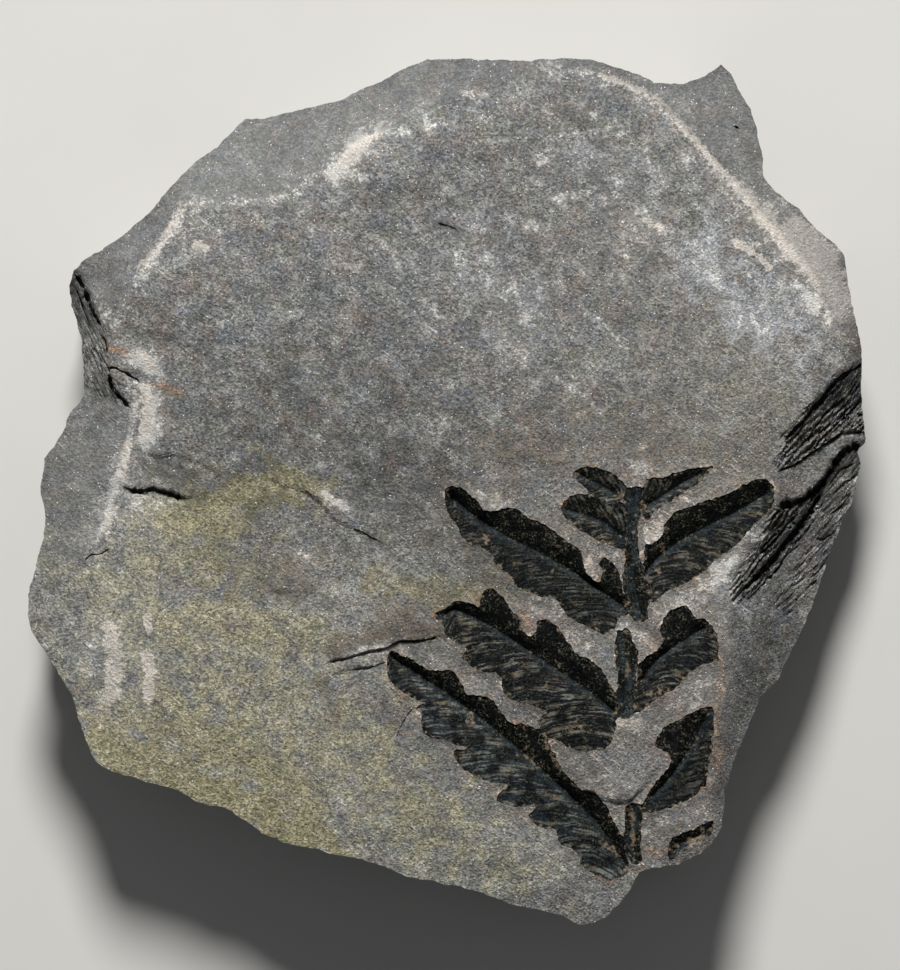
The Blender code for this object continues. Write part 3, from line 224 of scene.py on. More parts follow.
# The frond. Each rib runs from its base to its tip; trough is how deep the piece dips along it.
frond = {
    "rachis_upper": {
        "rib": [
            (63.3, 49.8), (63.3, 54.5), (63.3, 57.5), (63.9, 61)],
        "trough": 0.25,
        "margin": [
            (62.7, 48.9), (64, 48.9), (64, 50.3), (63.8, 52.2), (63.7, 54.5), (64, 56.5), (64.5, 59),
            (64.7, 61.8), (63.3, 61.9), (62.9, 60), (62.5, 58.5), (62.5, 56.5), (62.8, 54.5),
            (62.8, 52.2), (62.6, 50.5)]},
    "rachis_middle": {
        "rib": [
            (62.4, 64), (62.6, 66.5), (62.6, 69), (62.6, 70.9)],
        "trough": 0.25,
        "margin": [
            (61.6, 63.5), (62.8, 62.9), (63.3, 64.2), (63.7, 65.5), (63.4, 67.2), (63.3, 69),
            (63.1, 71.6), (62.1, 71.7), (61.9, 70), (61.8, 68), (61.6, 66)]},
    "rachis_lower": {
        "rib": [
            (63.3, 81.4), (63.2, 83.4), (63.4, 85.5)],
        "trough": 0.25,
        "margin": [
            (62.6, 80.7), (64, 80.6), (64.1, 82.8), (64, 84.8), (64.1, 86), (63.4, 86.5), (62.8, 85),
            (62.6, 83)]},
    "leaflet_tip_left_upper": {
        "rib": [
            (61.3, 49.2), (59.6, 48.3), (58.2, 47.6)],
        "trough": 0.4,
        "margin": [
            (57.3, 47.4), (58, 46.8), (59.5, 46.8), (61, 47.3), (62.2, 48.3), (62.4, 49.2), (61.8, 50),
            (61, 50.1), (59.7, 49.6), (58.5, 48.7), (57.6, 48)]},
    "leaflet_tip_left_lower": {
        "rib": [
            (61.8, 53.4), (60.6, 52.4), (58.8, 51.6), (56.8, 51)],
        "trough": 0.4,
        "margin": [
            (56.1, 51), (56.8, 49.9), (57.8, 49.5), (59.2, 49.7), (60.6, 50.3), (61.6, 50.4),
            (62.3, 50.8), (62.5, 52), (62.4, 53.6), (62.3, 55.2), (61.3, 54.5), (60, 54.1), (58.5, 53.3),
            (57, 52.2)]},
    "leaflet_tip_right": {
        "rib": [
            (64.9, 50.4), (66.5, 49.4), (68.4, 48.2), (70.2, 47.3)],
        "trough": 0.4,
        "margin": [
            (64.5, 48.3), (65, 47.8), (66.5, 47.7), (68, 47.2), (69.5, 46.9), (71.2, 46.7), (70.5, 47.6),
            (69, 48.8), (67.2, 50), (65.6, 51), (64.5, 51.8)]},
    "pinna_left_upper": {
        "rib": [
            (61.9, 60.4), (60, 59), (57, 57), (54, 55.3), (51, 53.8), (48, 52), (46.2, 50.6),
            (45.1, 49.8)],
        "trough": 0.75,
        "margin": [
            (44.5, 49.8), (44.8, 48.8), (45.7, 48.7), (46.6, 49.1), (47.5, 49.9), (48, 50.8), (49, 51.2),
            (50, 51), (51, 50.8), (52, 51.2), (53, 51.9), (54.5, 52.5), (56, 53.7), (57.2, 54.5),
            (58.1, 55.3), (58.3, 56.6), (58.8, 57.6), (59.8, 58.2), (60.3, 57.2), (60, 56.2),
            (60.6, 55.8), (61.4, 56.5), (61.8, 57.5), (62, 58.8), (62.4, 60.2), (62.6, 61.4),
            (61.9, 61.8), (61.6, 62.5), (61, 63), (60.4, 63.4), (59.5, 63), (58.6, 62.6), (57.6, 62.2),
            (56.8, 61.6), (56.2, 60.8), (55.8, 60), (55, 59.7), (53.5, 59.4), (52, 58.8), (51.5, 58.3),
            (50.8, 57.3), (49.7, 56.5), (49.2, 55.5), (48.2, 54.8), (47, 54.3), (46.2, 53.5),
            (45.7, 52.4), (45, 51.7)]},
    "pinna_left_middle": {
        "rib": [
            (61.2, 71), (59, 69.2), (56, 67.2), (53, 65.2), (50, 63.2), (47.5, 61.8), (45.5, 60.9),
            (44.6, 61.2)],
        "trough": 0.75,
        "margin": [
            (43.6, 61.4), (44.8, 60.6), (45.8, 60.2), (47, 60.4), (48, 60.6), (48.3, 59.2), (49.3, 59),
            (50.2, 59.6), (50.7, 60.3), (51.1, 61.1), (51.8, 61.8), (52.1, 62.8), (52.8, 63.7),
            (53.6, 63.2), (53.8, 62.1), (55, 62.2), (56, 63.2), (56.8, 64.3), (57.8, 65.5), (59, 66),
            (60, 66.8), (60.7, 68), (61.3, 69.2), (61.5, 70.3), (61.6, 71.6), (61.5, 72.8), (61.2, 74),
            (60.5, 74.8), (59, 75.1), (57.5, 74.9), (56, 74.2), (54.8, 73.5), (54.1, 72.6), (54.2, 71.8),
            (54.7, 71.2), (53.5, 70.7), (52, 70.2), (50.8, 69.8), (50.3, 69), (50.2, 67.8), (49.5, 67.3),
            (48, 67), (47, 66.5), (46.4, 65.8), (46.7, 65.1), (46.2, 64.5), (45.2, 64), (44.5, 63.2),
            (44.1, 62.2)]},
    "pinna_left_lower": {
        "rib": [
            (62.2, 86), (60, 82.7), (57, 79.6), (54, 76.8), (51, 74.2), (48, 71.8), (45, 69.6),
            (42, 67.6), (39.4, 65.8)],
        "trough": 0.75,
        "margin": [
            (38.7, 65.8), (39.2, 65.1), (40, 65.5), (41.2, 66), (42.5, 67), (44, 67.2), (45, 67.1),
            (45.8, 67.8), (46.3, 68.8), (46.8, 69.5), (48, 69.7), (49.2, 70), (49.8, 70.8), (50.5, 71.8),
            (51.2, 72.4), (52.5, 72.5), (53.7, 73.1), (54.7, 74.2), (55.4, 75.4), (56, 76.6),
            (56.7, 77.6), (57.7, 78.7), (58.7, 79.1), (59.8, 79.8), (60.7, 80.8), (61.2, 81.8),
            (61.8, 83), (62.2, 84.2), (62.4, 85.6), (62.8, 87), (62.4, 87.6), (61.2, 88.1), (60.5, 88),
            (59.5, 87.5), (58.3, 86.8), (58, 85.8), (57.5, 85), (56.2, 84.5), (55.8, 83.8), (55.5, 82.8),
            (54.3, 82.8), (53.3, 82.2), (53, 81.5), (53.5, 80.7), (52, 80.7), (50.5, 80.5), (49.8, 80),
            (50, 79.3), (50.8, 78.5), (49.2, 78.3), (47.8, 77.8), (46.5, 77), (45.8, 76.2), (45.5, 75.2),
            (46.7, 74.8), (45.8, 74.5), (44.5, 74), (43.2, 73.8), (42.3, 73), (42.2, 71.5), (41.7, 70.8),
            (42.5, 70.3), (41.5, 69.8), (40, 69), (39, 68), (38.8, 66.8)]},
    "pinna_right_upper": {
        "rib": [
            (64.7, 57), (66, 55.6), (68, 54.1), (70, 53), (72, 52), (74, 51), (76.6, 49.4)],
        "trough": 0.7,
        "margin": [
            (64.5, 54.9), (65.2, 54.5), (66.2, 53.5), (66.8, 52.1), (67.6, 51.3), (69, 50.7), (71, 50),
            (73, 49.3), (74.5, 48.5), (75.7, 48.1), (76.8, 48), (77.5, 48.9), (77.3, 50.3), (76.8, 51.2),
            (75.8, 52), (74.8, 53.2), (73.9, 54.2), (72.7, 55.2), (71.4, 56.1), (70.5, 57), (69, 58),
            (67, 59), (65.7, 59.8), (65.1, 59.9)]},
    "pinna_right_middle": {
        "rib": [
            (64.2, 68), (65.5, 66.2), (67, 65), (68.5, 64), (70.4, 62.8)],
        "trough": 0.6,
        "margin": [
            (64.1, 66.6), (64.8, 65.7), (65.8, 65), (66.4, 64), (66, 63.2), (66.2, 62.2), (67, 61.2),
            (68.5, 60.5), (69, 61.2), (69.5, 61.8), (70.5, 62), (71.2, 62.8), (71.7, 64), (71.9, 65.4),
            (71.7, 66.1), (70, 66.5), (69, 67.2), (68.5, 68), (67.8, 68.5), (66.8, 69.2), (65.5, 70),
            (64.5, 70.7), (63.7, 71.2), (63.8, 69.5)]},
    "pinna_right_lower": {
        "rib": [
            (65.3, 79.6), (67, 77.8), (68.3, 76), (69.4, 74.2), (70.4, 72.2)],
        "trough": 0.6,
        "margin": [
            (65.8, 73.8), (66.5, 72.8), (68, 72), (69.5, 71.2), (71, 70.7), (71.4, 71.6), (71.2, 74),
            (71, 76), (70.6, 78.3), (70, 79.1), (69, 79.9), (67.5, 80.5), (66, 81.1), (64.7, 81.2),
            (64.4, 80.6), (64.8, 79.5), (65.8, 78), (66.8, 76.8), (67.2, 76), (66.5, 75.2), (65.6, 74.7)]},
    "pinna_right_lowest": {
        "rib": [
            (67.4, 85.2), (68.2, 84.4), (70, 83.6)],
        "trough": 0.25,
        "margin": [
            (66.8, 85), (67.2, 84), (68.2, 83.4), (69.6, 82.9), (70.6, 82.3), (71.3, 82.3), (71.1, 83.3),
            (70.2, 84), (69, 84.5), (68.2, 85), (67.7, 85.8), (67, 86)]},
}

sheetLow = np.array(slab["edge"])[:, :2].min(axis=0)
sheetHigh = np.array(slab["edge"])[:, :2].max(axis=0)
sheetMiddle = (sheetLow + sheetHigh) / 2


def onPlate(points):
    # sheet points measured from the plate's middle, y up
    moved = np.array(points, dtype=float)
    moved[:, 0] -= sheetMiddle[0]
    moved[:, 1] = sheetMiddle[1] - moved[:, 1]
    return moved


def evenly(line, step, closed=False):
    # the same line with its points an even step apart
    if closed:
        line = np.vstack((line, line[:1]))
    lengths = np.linalg.norm(np.diff(line[:, :2], axis=0), axis=1)
    places = np.concatenate(([0], np.cumsum(lengths)))
    count = max(int(round(places[-1] / step)), 3)
    wanted = np.linspace(0, places[-1], count + 1)
    if closed:
        wanted = wanted[:-1]
    return np.column_stack([np.interp(wanted, places, line[:, k]) for k in range(line.shape[1])])


def curved(line, step, closed=False):
    # a smooth line through the drawn points
    line = np.asarray(line, dtype=float)
    if closed:
        here = line
        before, after, beyond = (np.roll(line, shift, axis=0) for shift in (1, -1, -2))
    else:
        ends = np.vstack((2 * line[:1] - line[1:2], line, 2 * line[-1:] - line[-2:-1]))
        before, here, after, beyond = ends[:-3], ends[1:-2], ends[2:-1], ends[3:]
    found = []
    for t in np.linspace(0, 1, 10, endpoint=False):
        turn = 2 * before - 5 * here + 4 * after - beyond
        bend = 3 * here - before - 3 * after + beyond
        found.append(0.5 * (2 * here + (after - before) * t + turn * t * t + bend * t ** 3))
    dense = np.stack(found, axis=1).reshape(-1, line.shape[1])
    if not closed:
        dense = np.vstack((dense, line[-1:]))
    return evenly(dense, step, closed)


def nearest(points, line, closed=False):
    # distance to a line, the place along it as a point number, and the side it is on
    starts = line[:, :2] if closed else line[:-1, :2]
    ends = np.roll(line, -1, axis=0)[:, :2] if closed else line[1:, :2]
    run = ends - starts
    square = (run * run).sum(axis=1) + 1e-12
    gaps, places, sides = np.empty(len(points)), np.empty(len(points)), np.empty(len(points))
    chunk = max(400000 // len(starts), 1)
    for first in range(0, len(points), chunk):
        part = slice(first, first + chunk)
        away = points[part, None, :2] - starts[None]
        share = np.clip((away * run).sum(axis=2) / square, 0, 1)
        distance = np.linalg.norm(away - share[..., None] * run, axis=2)
        best = distance.argmin(axis=1)
        row = np.arange(len(best))
        gaps[part] = distance[row, best]
        places[part] = best + share[row, best]
        sides[part] = np.sign(run[best, 0] * away[row, best, 1] - run[best, 1] * away[row, best, 0])
    return gaps, places, sides


def closeTo(points, line, reach):
    # the numbers of the points that lie in the box round a line
    low, high = line[:, :2].min(axis=0) - reach, line[:, :2].max(axis=0) + reach
    return np.flatnonzero(((points[:, :2] > low) & (points[:, :2] < high)).all(axis=1))


def within(points, loop):
    # which points lie inside a closed line
    found = np.zeros(len(points), dtype=bool)
    near = closeTo(points, loop, 0)
    ax, ay = loop[:, 0], loop[:, 1]
    bx, by = np.roll(ax, -1), np.roll(ay, -1)
    rise = np.where(by == ay, 1e-9, by - ay)
    chunk = max(2000000 // len(loop), 1)
    for first in range(0, len(near), chunk):
        part = near[first:first + chunk]
        x, y = points[part, 0:1], points[part, 1:2]
        hits = ((ay > y) != (by > y)) & (x < (bx - ax) * (y - ay) / rise + ax)
        found[part] = hits.sum(axis=1) % 2 == 1
    return found


def pastCrests(points):
    # which points lie out on the sloping facets, past the crest and the left rim
    found = np.zeros(len(points))
    for name, outward in (("rimCrest", 1), ("leftRim", -1)):
        line = curved(onPlate(slab["creases"][name]), 0.4)
        near = closeTo(points, line, 9)
        gap, place, side = nearest(points[near], line)
        ends = eased(place, 0, 8) * eased(len(line) - 1 - place, 0, 8)
        found[near] = np.maximum(found[near], eased(gap * side * outward, -0.1, 0.35) * ends)
    return found


def noiseAt(points, size, place, octaves=1):
    # noise of a given size, read in the plan; size may be (along, across, angle)
    x, y = points[:, 0], points[:, 1]
    if isinstance(size, tuple):
        along, across, angle = size[0], size[1], math.radians(size[2])
        x, y = x * math.cos(angle) + y * math.sin(angle), y * math.cos(angle) - x * math.sin(angle)
        x, y = x / along, y / across
    else:
        x, y = x / size, y / size
    pairs = zip(x.tolist(), y.tolist())
    if octaves == 1:
        return np.array([noise.noise((a, b, place)) for a, b in pairs])
    return np.array([noise.fractal((a, b, place), 1.0, 2.0, octaves) for a, b in pairs])


def keyedNoise(points, size, keys):
    # noise in the plan that is another one for each key
    places = zip((points[:, :2] / size).tolist(), keys.tolist())
    return np.array([noise.noise((x, y, key)) for (x, y), key in places])


def eased(values, low, high):
    share = np.clip((values - low) / (high - low), 0, 1)
    return share * share * (3 - 2 * share)


def loopPairs(first, count, closed):
    pairs = [(first + k, first + k + 1) for k in range(count - 1)]
    if closed:
        pairs.append((first + count - 1, first))
    return pairs


def triangles(points, pairs):
    flat = [Vector(point) for point in points.tolist()]
    result = delaunay_2d_cdt(flat, pairs, [], 1, 0.004)
    plan = np.array([(v.x, v.y) for v in result[0]])
    return plan, np.array([tuple(face) for face in result[2] if len(face) == 3])


def rimOf(faces):
    # the corners round the open rim of a sheet of triangles, in order
    edges = np.vstack((faces[:, [0, 1]], faces[:, [1, 2]], faces[:, [2, 0]]))
    forward = edges[:, 0].astype(np.int64) * (edges.max() + 1) + edges[:, 1]
    backward = edges[:, 1].astype(np.int64) * (edges.max() + 1) + edges[:, 0]
    alone = edges[~np.isin(forward, backward)]
    following = dict(alone.tolist())
    loop = [alone[0, 0]]
    while following[loop[-1]] != loop[0]:
        loop.append(following[loop[-1]])
    return np.array(loop)


def offsetLine(line, distance, closed):
    # a line moved to its left, which is outwards for a clockwise loop
    before, after = np.roll(line, 1, axis=0), np.roll(line, -1, axis=0)
    if not closed:
        before[0], after[-1] = line[0], line[-1]
    along = after - before
    along /= np.linalg.norm(along, axis=1)[:, None] + 1e-9
    return line + np.column_stack((-along[:, 1], along[:, 0])) * distance


# Broad form: the facets between the edge, the creases and the single heights, read on a fine grid.
gridStep = 0.5
gridX = np.arange(-46, 46.01, gridStep)
gridY = np.arange(-47, 47.01, gridStep)
gridPoints = np.array([(x, y) for y in gridY for x in gridX])


def blurred(grid, reach):
    size = int(3 * reach / gridStep) + 1
    weights = np.exp(-0.5 * (np.arange(-size, size + 1) * gridStep / reach) ** 2)
    weights /= weights.sum()
    for axis in (0, 1):
        pad = [(0, 0), (0, 0)]
        pad[axis] = (size, size)
        wide = np.pad(grid, pad, mode="edge")
        length = grid.shape[axis]
        grid = sum(w * np.take(wide, range(k, k + length), axis=axis) for k, w in enumerate(weights))
    return grid


def sampled(grid, points):
    # bilinear reading of a grid
    u = np.clip((points[:, 0] - gridX[0]) / gridStep, 0, len(gridX) - 1.001)
    v = np.clip((points[:, 1] - gridY[0]) / gridStep, 0, len(gridY) - 1.001)
    a, b = u.astype(int), v.astype(int)
    u, v = u - a, v - b
    low = grid[b, a] * (1 - u) + grid[b, a + 1] * u
    high = grid[b + 1, a] * (1 - u) + grid[b + 1, a + 1] * u
    return low * (1 - v) + high * v


def broadForm():
    edge = onPlate(slab["edge"])
    points, pairs, count = [edge], loopPairs(0, len(edge), True), len(edge)
    for crease in slab["creases"].values():
        line = onPlate(crease)
        pairs += loopPairs(count, len(line), False)
        points.append(line)
        count += len(line)
    points.append(onPlate(slab["faceHeights"]))
    points = np.vstack(points)
    plan, faces = triangles(points[:, :2], pairs)
    closest = np.linalg.norm(plan[:, None] - points[None, :, :2], axis=2).argmin(axis=1)
    corners = np.column_stack((plan, points[closest, 2]))
    tree = BVHTree.FromPolygons(corners.tolist(), faces.tolist())
    down = Vector((0, 0, -1))
    hits = [tree.ray_cast(Vector((x, y, aboveAll)), down)[0] for x, y in gridPoints.tolist()]
    place = nearest(gridPoints, edge, closed=True)[1]
    ring = np.append(edge[:, 2], edge[0, 2])
    beyond = np.interp(place, np.arange(len(ring)), ring)
    heights = np.array([b if hit is None else hit.z for hit, b in zip(hits, beyond)])
    heights = heights.reshape(len(gridY), len(gridX))
    sharp = np.zeros(len(gridPoints))
    for broken in breaks:
        outline = onPlate(broken["outline"])
        gap = np.where(within(gridPoints, outline), 0, nearest(gridPoints, outline, closed=True)[0])
        sharp = np.maximum(sharp, np.exp(-(gap / 1.5) ** 2))
    sharp = blurred(sharp.reshape(heights.shape), 0.8)
    soft, crisp = blurred(heights, slab["softBlur"]), blurred(heights, slab["crispBlur"])
    return soft * (1 - sharp) + crisp * sharp


formGrid = broadForm()
print("broad form read on", formGrid.size, "places")


def madeRagged(line, reach, length, place, octaves):
    # a line that wanders a little, first across and then along the sheet
    for axis in (0, 1):
        line[:, axis] += reach * noiseAt(line, length, place + 10 * axis, octaves)
    return line


def ledgeLine(ledge):
    return madeRagged(curved(onPlate(ledge["line"]), 0.25), 0.22, 1.3, 60.0, 3)


def ledgeHeight(points, ledge):
    line = ledgeLine(ledge)
    near = closeTo(points, line, 4 * ledge["reach"])
    gap, place, side = nearest(points[near], line)
    drops = ledge["drop"]
    drop = np.interp(place / (len(line) - 1) * (len(drops) - 1), np.arange(len(drops)), drops)
    height = np.zeros(len(points))
    height[near] = 0.5 * drop * side * np.clip(gap / ledgeWall, 0, 1) * np.exp(-gap / ledge["reach"])
    return height


def smoothFace(points):
    # the face without its roughness, which the fern follows
    size, length = slab["swell"]
    height = sampled(formGrid, points) + size * noiseAt(points, length, 3.7)
    for ledge in ledges:
        height += ledgeHeight(points, ledge)
    return height


def leafShare(points, broken):
    # how far each point is into the broken place, 0 to 1
    outline = onPlate(broken["outline"])
    gap = nearest(points, outline, closed=True)[0]
    gap = np.where(within(points, outline), -gap, gap) + 0.35 * noiseAt(points, 1.6, 8.2, 2)
    return 1 - eased(gap, -broken["smooth"], 0.2)


def lots(numbers, start):
    # a lot from 0 to 1 for each whole number, the same in every run
    return np.modf(np.abs(np.sin(12.9898 * numbers + start) * 43758.5453))[0]


def leafTeeth(points, broken, gap, lot):
    # each leaf of stone tilts up outwards, ends at a steep edge, and breaks off in stretches
    run = broken["run"]
    angle = math.radians(run)
    along = points[:, 0] * math.cos(angle) + points[:, 1] * math.sin(angle)
    across = points[:, 0] * math.sin(angle) - points[:, 1] * math.cos(angle)
    stretch = np.floor(along / (5 * gap) + 1.3 * noiseAt(points, (9.0, 0.9, run), lot))
    place = across + 0.42 * noiseAt(points, (6.0, 2.2, run), lot + 2, 3) + 0.05 * noiseAt(points, 0.5, lot)
    place = place / gap + lots(stretch, lot)
    leaf = np.floor(place)
    share = place - leaf
    steep = 0.09              # width of a leaf's steep edge
    edge = steep / gap
    tooth = np.where(share < edge, 0.5 - share / edge, (share - edge) / (1 - edge) - 0.5)
    foot = 0.5 * np.exp(-((share - edge) * gap / steep) ** 2)
    own = keyedNoise(points, 2.2, 4.7 * leaf + 1.9 * stretch)
    return np.clip(0.75 + 1.6 * own, 0.05, 1.8) * (tooth - foot)


def leafed(points, height, broken):
    near = closeTo(points, onPlate(broken["outline"]), 1.5)
    here = points[near]
    amount = leafShare(here, broken)
    relief = leafTeeth(here, broken, broken["gap"], 3.3)
    relief += 0.4 * leafTeeth(here, broken, 0.45 * broken["gap"], 7.1)
    height[near] += amount * broken["step"] * relief
    height[near] += amount * 0.05 * noiseAt(here, (1.6, 0.3, broken["run"]), 2.2, 2)
    return height


def crackLine(crack):
    # the middle of a crack, and half its width along it, both ragged
    width, drawn = crack[0], crack[2]
    step = 0.16
    line = evenly(onPlate(drawn), step)
    half = width * (0.9 + 0.8 * noiseAt(line, 0.6, 5.9, 2))
    ends = np.minimum(np.arange(len(line)), np.arange(len(line))[::-1]) * step
    half = np.clip(half, 0.3 * width, None) * eased(ends, -0.2, 0.35)
    return madeRagged(line, 0.09, 0.6, 61.0, 2), half


def roughFace(points):
    height = smoothFace(points)
    tall, angle = slab["lineation"]
    lowerLeft = eased(-points[:, 0] * 0.5 - points[:, 1], -6, 10)
    height += tall * noiseAt(points, (9.0, 1.3, angle), 4.1) * (1 - 0.5 * lowerLeft)
    height += 0.5 * tall * noiseAt(points, (3.5, 0.5, angle), 6.3)
    thin = 2.2 * noiseAt(points, (14.0, 6.0, angle), 12.5, 4)
    height += slab["flakes"] * (np.floor(thin) + eased(thin - np.floor(thin), 0.82, 1.0) - thin)
    height += slab["grain"] * noiseAt(points, 0.6, 7.7, 2)
    height += slab["coarse"] * lowerLeft * noiseAt(points, 2.2, 15.1, 3)
    for broken in breaks:
        height = leafed(points, height, broken)
    for crack in cracks:
        width, depth = crack[:2]
        line, half = crackLine(crack)
        near = closeTo(points, line, 3 * width)
        gap, place = nearest(points[near], line)[:2]
        half = np.interp(place, np.arange(len(line)), half)
        height[near] -= depth * np.clip((1.03 - gap / half) / 0.33, 0, 1) * np.clip(half / width, 0, 1)
    return height


# The fern's margins are drawn smooth and a little ragged, and close up to the stem.
film = {
    "step": 0.105,            # spacing of the film's points
    "marginStep": 0.13,
    "ragged": 0.16,           # how far the margin wanders
    "closeUp": 0.75,          # gaps to the next piece up to this wide are closed
    "sink": 0.04,             # how far the margin lies under the stone
    "dip": 1.5,               # above 1 the film dips more sharply along its rib
    "skirt": 0.32,            # how far the film's margin turns down
    "room": 0.5,              # how much deeper the bed is under the film's middle
    "wall": (-0.03, 0.05),    # where the stone's wall round a bed starts and ends, from the margin
    "veinHeight": 0.055,
    "veinGap": 1.05,          # spacing of the veins along the rib
    "veinLead": (2.1, 1.0),   # how strongly they run forward at the rib, and less at the margin
    # painted sheen over the lower halves, by piece
    "paintedSheen": {"pinna_left_lower": 1.5, "pinna_left_middle": 0.3, "pinna_right_middle": 0.25,
             "pinna_right_lower": 0.05},
    # grey streaks on the lower halves, by piece: partly sediment, partly painted light
    "veilAndLight": {"pinna_right_upper": 0.85, "pinna_right_middle": 0.8, "pinna_left_upper": 0.55,
             "pinna_left_middle": 1.0, "pinna_right_lower": 0.3, "pinna_left_lower": 1.0},
    "others": (0.2, 0.9),     # painted sheen and grey veil on the rest
    "fuzz": (0.035, 0.4),     # height and length of the fine roughness
    "waves": (0.05, 1.6),     # and of the broader unevenness
    "ribEdge": 0.03,          # height of the ridge along the lower side of the rib
}


def drawMargins():
    made = {name: curved(onPlate(piece["margin"]), film["marginStep"], True) for name, piece in frond.items()}
    closed = {}
    for name, loop in made.items():
        wander = noiseAt(loop, 0.8, 3.3, 2) + 0.8 * noiseAt(loop, 0.35, 9.1)
        outward = offsetLine(loop, 1.0, True) - loop
        out = loop + outward * (wander * film["ragged"])[:, None]
        for other, line in made.items():
            if other == name:
                continue
            gap, place = nearest(loop, line, closed=True)[:2]
            ring = np.vstack((line, line[:1]))
            target = np.column_stack([np.interp(place, np.arange(len(ring)), ring[:, k]) for k in (0, 1)])
            pull = 1 - eased(gap, 0.6 * film["closeUp"], film["closeUp"])
            toward = (target - loop) / (gap[:, None] + 1e-6)
            out += toward * (pull * (0.5 * gap + 0.06))[:, None]
        closed[name] = out
    return closed


margins = drawMargins()


def filmDip(points, piece, margin):
    # share of the way from rib to margin, and how far the film lies under the stone
    rib = curved(onPlate(piece["rib"]), 0.4)
    toRib = nearest(points, rib)[0]
    toEdge = nearest(points, margin[::3], closed=True)[0]
    share = toRib / (toRib + toEdge + 1e-6)
    return share, film["sink"] + piece["trough"] * (1 - share) ** film["dip"]


def bedDepth(points):
    # depth of the fern's beds, and how near each point is to the fern
    depth, beside = np.zeros(len(points)), np.full(len(points), 9.0)
    for name, margin in margins.items():
        near = closeTo(points, margin, 4)
        gap = nearest(points[near], margin, closed=True)[0]
        inner = within(points[near], margin)
        dip = filmDip(points[near], frond[name], margin)[1]
        room = film["room"]
        dip = np.where(inner, dip + room * np.clip(gap / room, 0, 1), film["sink"])
        foot, top = film["wall"]
        wall = np.clip((top - np.where(inner, -gap, gap)) / (top - foot), 0, 1)
        depth[near] = np.maximum(depth[near], wall * (dip + film["skirt"]))
        beside[near] = np.minimum(beside[near], np.where(inner, 0, gap))
    return depth, beside


def staggered(low, high, step, spare=1):
    # a grid over a box, every second row half a step along
    columns = int((high[0] - low[0]) / step) + spare
    rows = int((high[1] - low[1]) / (rowShare * step)) + spare
    column, row = np.meshgrid(np.arange(columns), np.arange(rows))
    across, up = (column + 0.5 * (row % 2)) * step, row * rowShare * step
    return np.column_stack((across.ravel(), up.ravel())) + low


def evenGrid(step):
    # a staggered grid over the whole plate, a little uneven
    corners = onPlate([sheetLow, sheetHigh])
    points = staggered(corners.min(axis=0), corners.max(axis=0), step)
    return points + dice.uniform(-0.18, 0.18, points.shape) * step


def keptLines(edge):
    # every line that the face's triangles follow
    lines = [(edge, True)]
    for ledge in ledges:
        line = ledgeLine(ledge)
        for side in (-ledgeWall, ledgeWall):
            lines.append((offsetLine(line, side, False), False))
    for crack in cracks:
        line, half = crackLine(crack)
        for share in (-1, -0.7, 0.7, 1):
            lines.append((offsetLine(line, share * half[:, None], False), False))
    for margin in margins.values():
        for distance in film["wall"]:
            lines.append((offsetLine(margin, distance, True), True))
    return lines


def facePlan(edge):
    lines = keptLines(edge)
    # coarse, fine and hidden zones
    fine = np.zeros(len(gridPoints), dtype=bool)
    split = np.zeros(len(gridPoints), dtype=bool)
    for margin in margins.values():
        near = closeTo(gridPoints, margin, 2)
        gap = nearest(gridPoints[near], margin[::3], closed=True)[0]
        fine[near] |= gap < slab["fineNear"][0]
    for drawn in [ledge["line"] for ledge in ledges] + [crack[2] for crack in cracks]:
        line = onPlate(drawn)
        near = closeTo(gridPoints, line, 2)
        fine[near] |= nearest(gridPoints[near], line)[0] < slab["fineNear"][1]
    for broken in breaks:
        outline = onPlate(broken["outline"])
        gap = nearest(gridPoints, outline, closed=True)[0]
        split |= within(gridPoints, outline) | (gap < slab["splitNear"])
    fineGrid = fine.reshape(len(gridY), len(gridX)).astype(float)
    splitGrid = split.reshape(len(gridY), len(gridX)).astype(float)

    # cells that a line's points lie in stay clear of other points
    cell, cells, corner = 0.11, 900, 48
    taken = np.zeros((cells, cells), dtype=bool)
    for line, closed in lines:
        at = ((evenly(line, 0.08, closed) + corner) / cell).astype(int)
        taken[at[:, 1], at[:, 0]] = True
    spread = taken.copy()
    spread[1:] |= taken[:-1]
    spread[:-1] |= taken[1:]
    spread[:, 1:] |= taken[:, :-1]
    spread[:, :-1] |= taken[:, 1:]

    kept = []
    for name in ("face", "fine", "split", "bed"):
        points = evenGrid(slab[name + "Step"])
        points = points[within(points, edge)]
        isSplit = sampled(splitGrid, points) > 0.4
        isFine = (sampled(fineGrid, points) > 0.4) & ~isSplit
        zones = {"face": ~isFine & ~isSplit, "fine": isFine, "split": isSplit}
        under = np.zeros(len(points), dtype=bool)
        for margin in margins.values():
            near = closeTo(points, margin, 0)
            gap = nearest(points[near], margin[::3], closed=True)[0]
            under[near] |= within(points[near], margin) & (gap > 0.12)
        wanted = under if name == "bed" else ~under & zones[name]
        at = ((points + corner) / cell).astype(int)
        kept.append(points[wanted & ~spread[at[:, 1], at[:, 0]]])
        print("  ", name, "points", len(kept[-1]))
    points, pairs, count = [], [], 0
    for line, closed in lines:
        pairs += loopPairs(count, len(line), closed)
        points.append(line)
        count += len(line)
    return triangles(np.vstack(points + kept), pairs)


# The broken sides: share of the edge's height, and how far in the side lies there.
sides = {
    "profile": ((1.0, 0.0), (0.86, 0.2), (0.68, 1.1), (0.45, 0.7), (0.2, 1.8), (0.0, 2.9)),
    "ragged": (0.7, 5.0),     # share by which a side wanders, and over what length
    "wander": (0.9, 19.0),
    "leaf": 0.62,             # thickness of the leaves that show in the sides
    "leafStep": 0.42,         # how far one stands out over the next
    "chips": 0.16,
    "back": 0.3,              # how far all of a side stands back under the rim
}


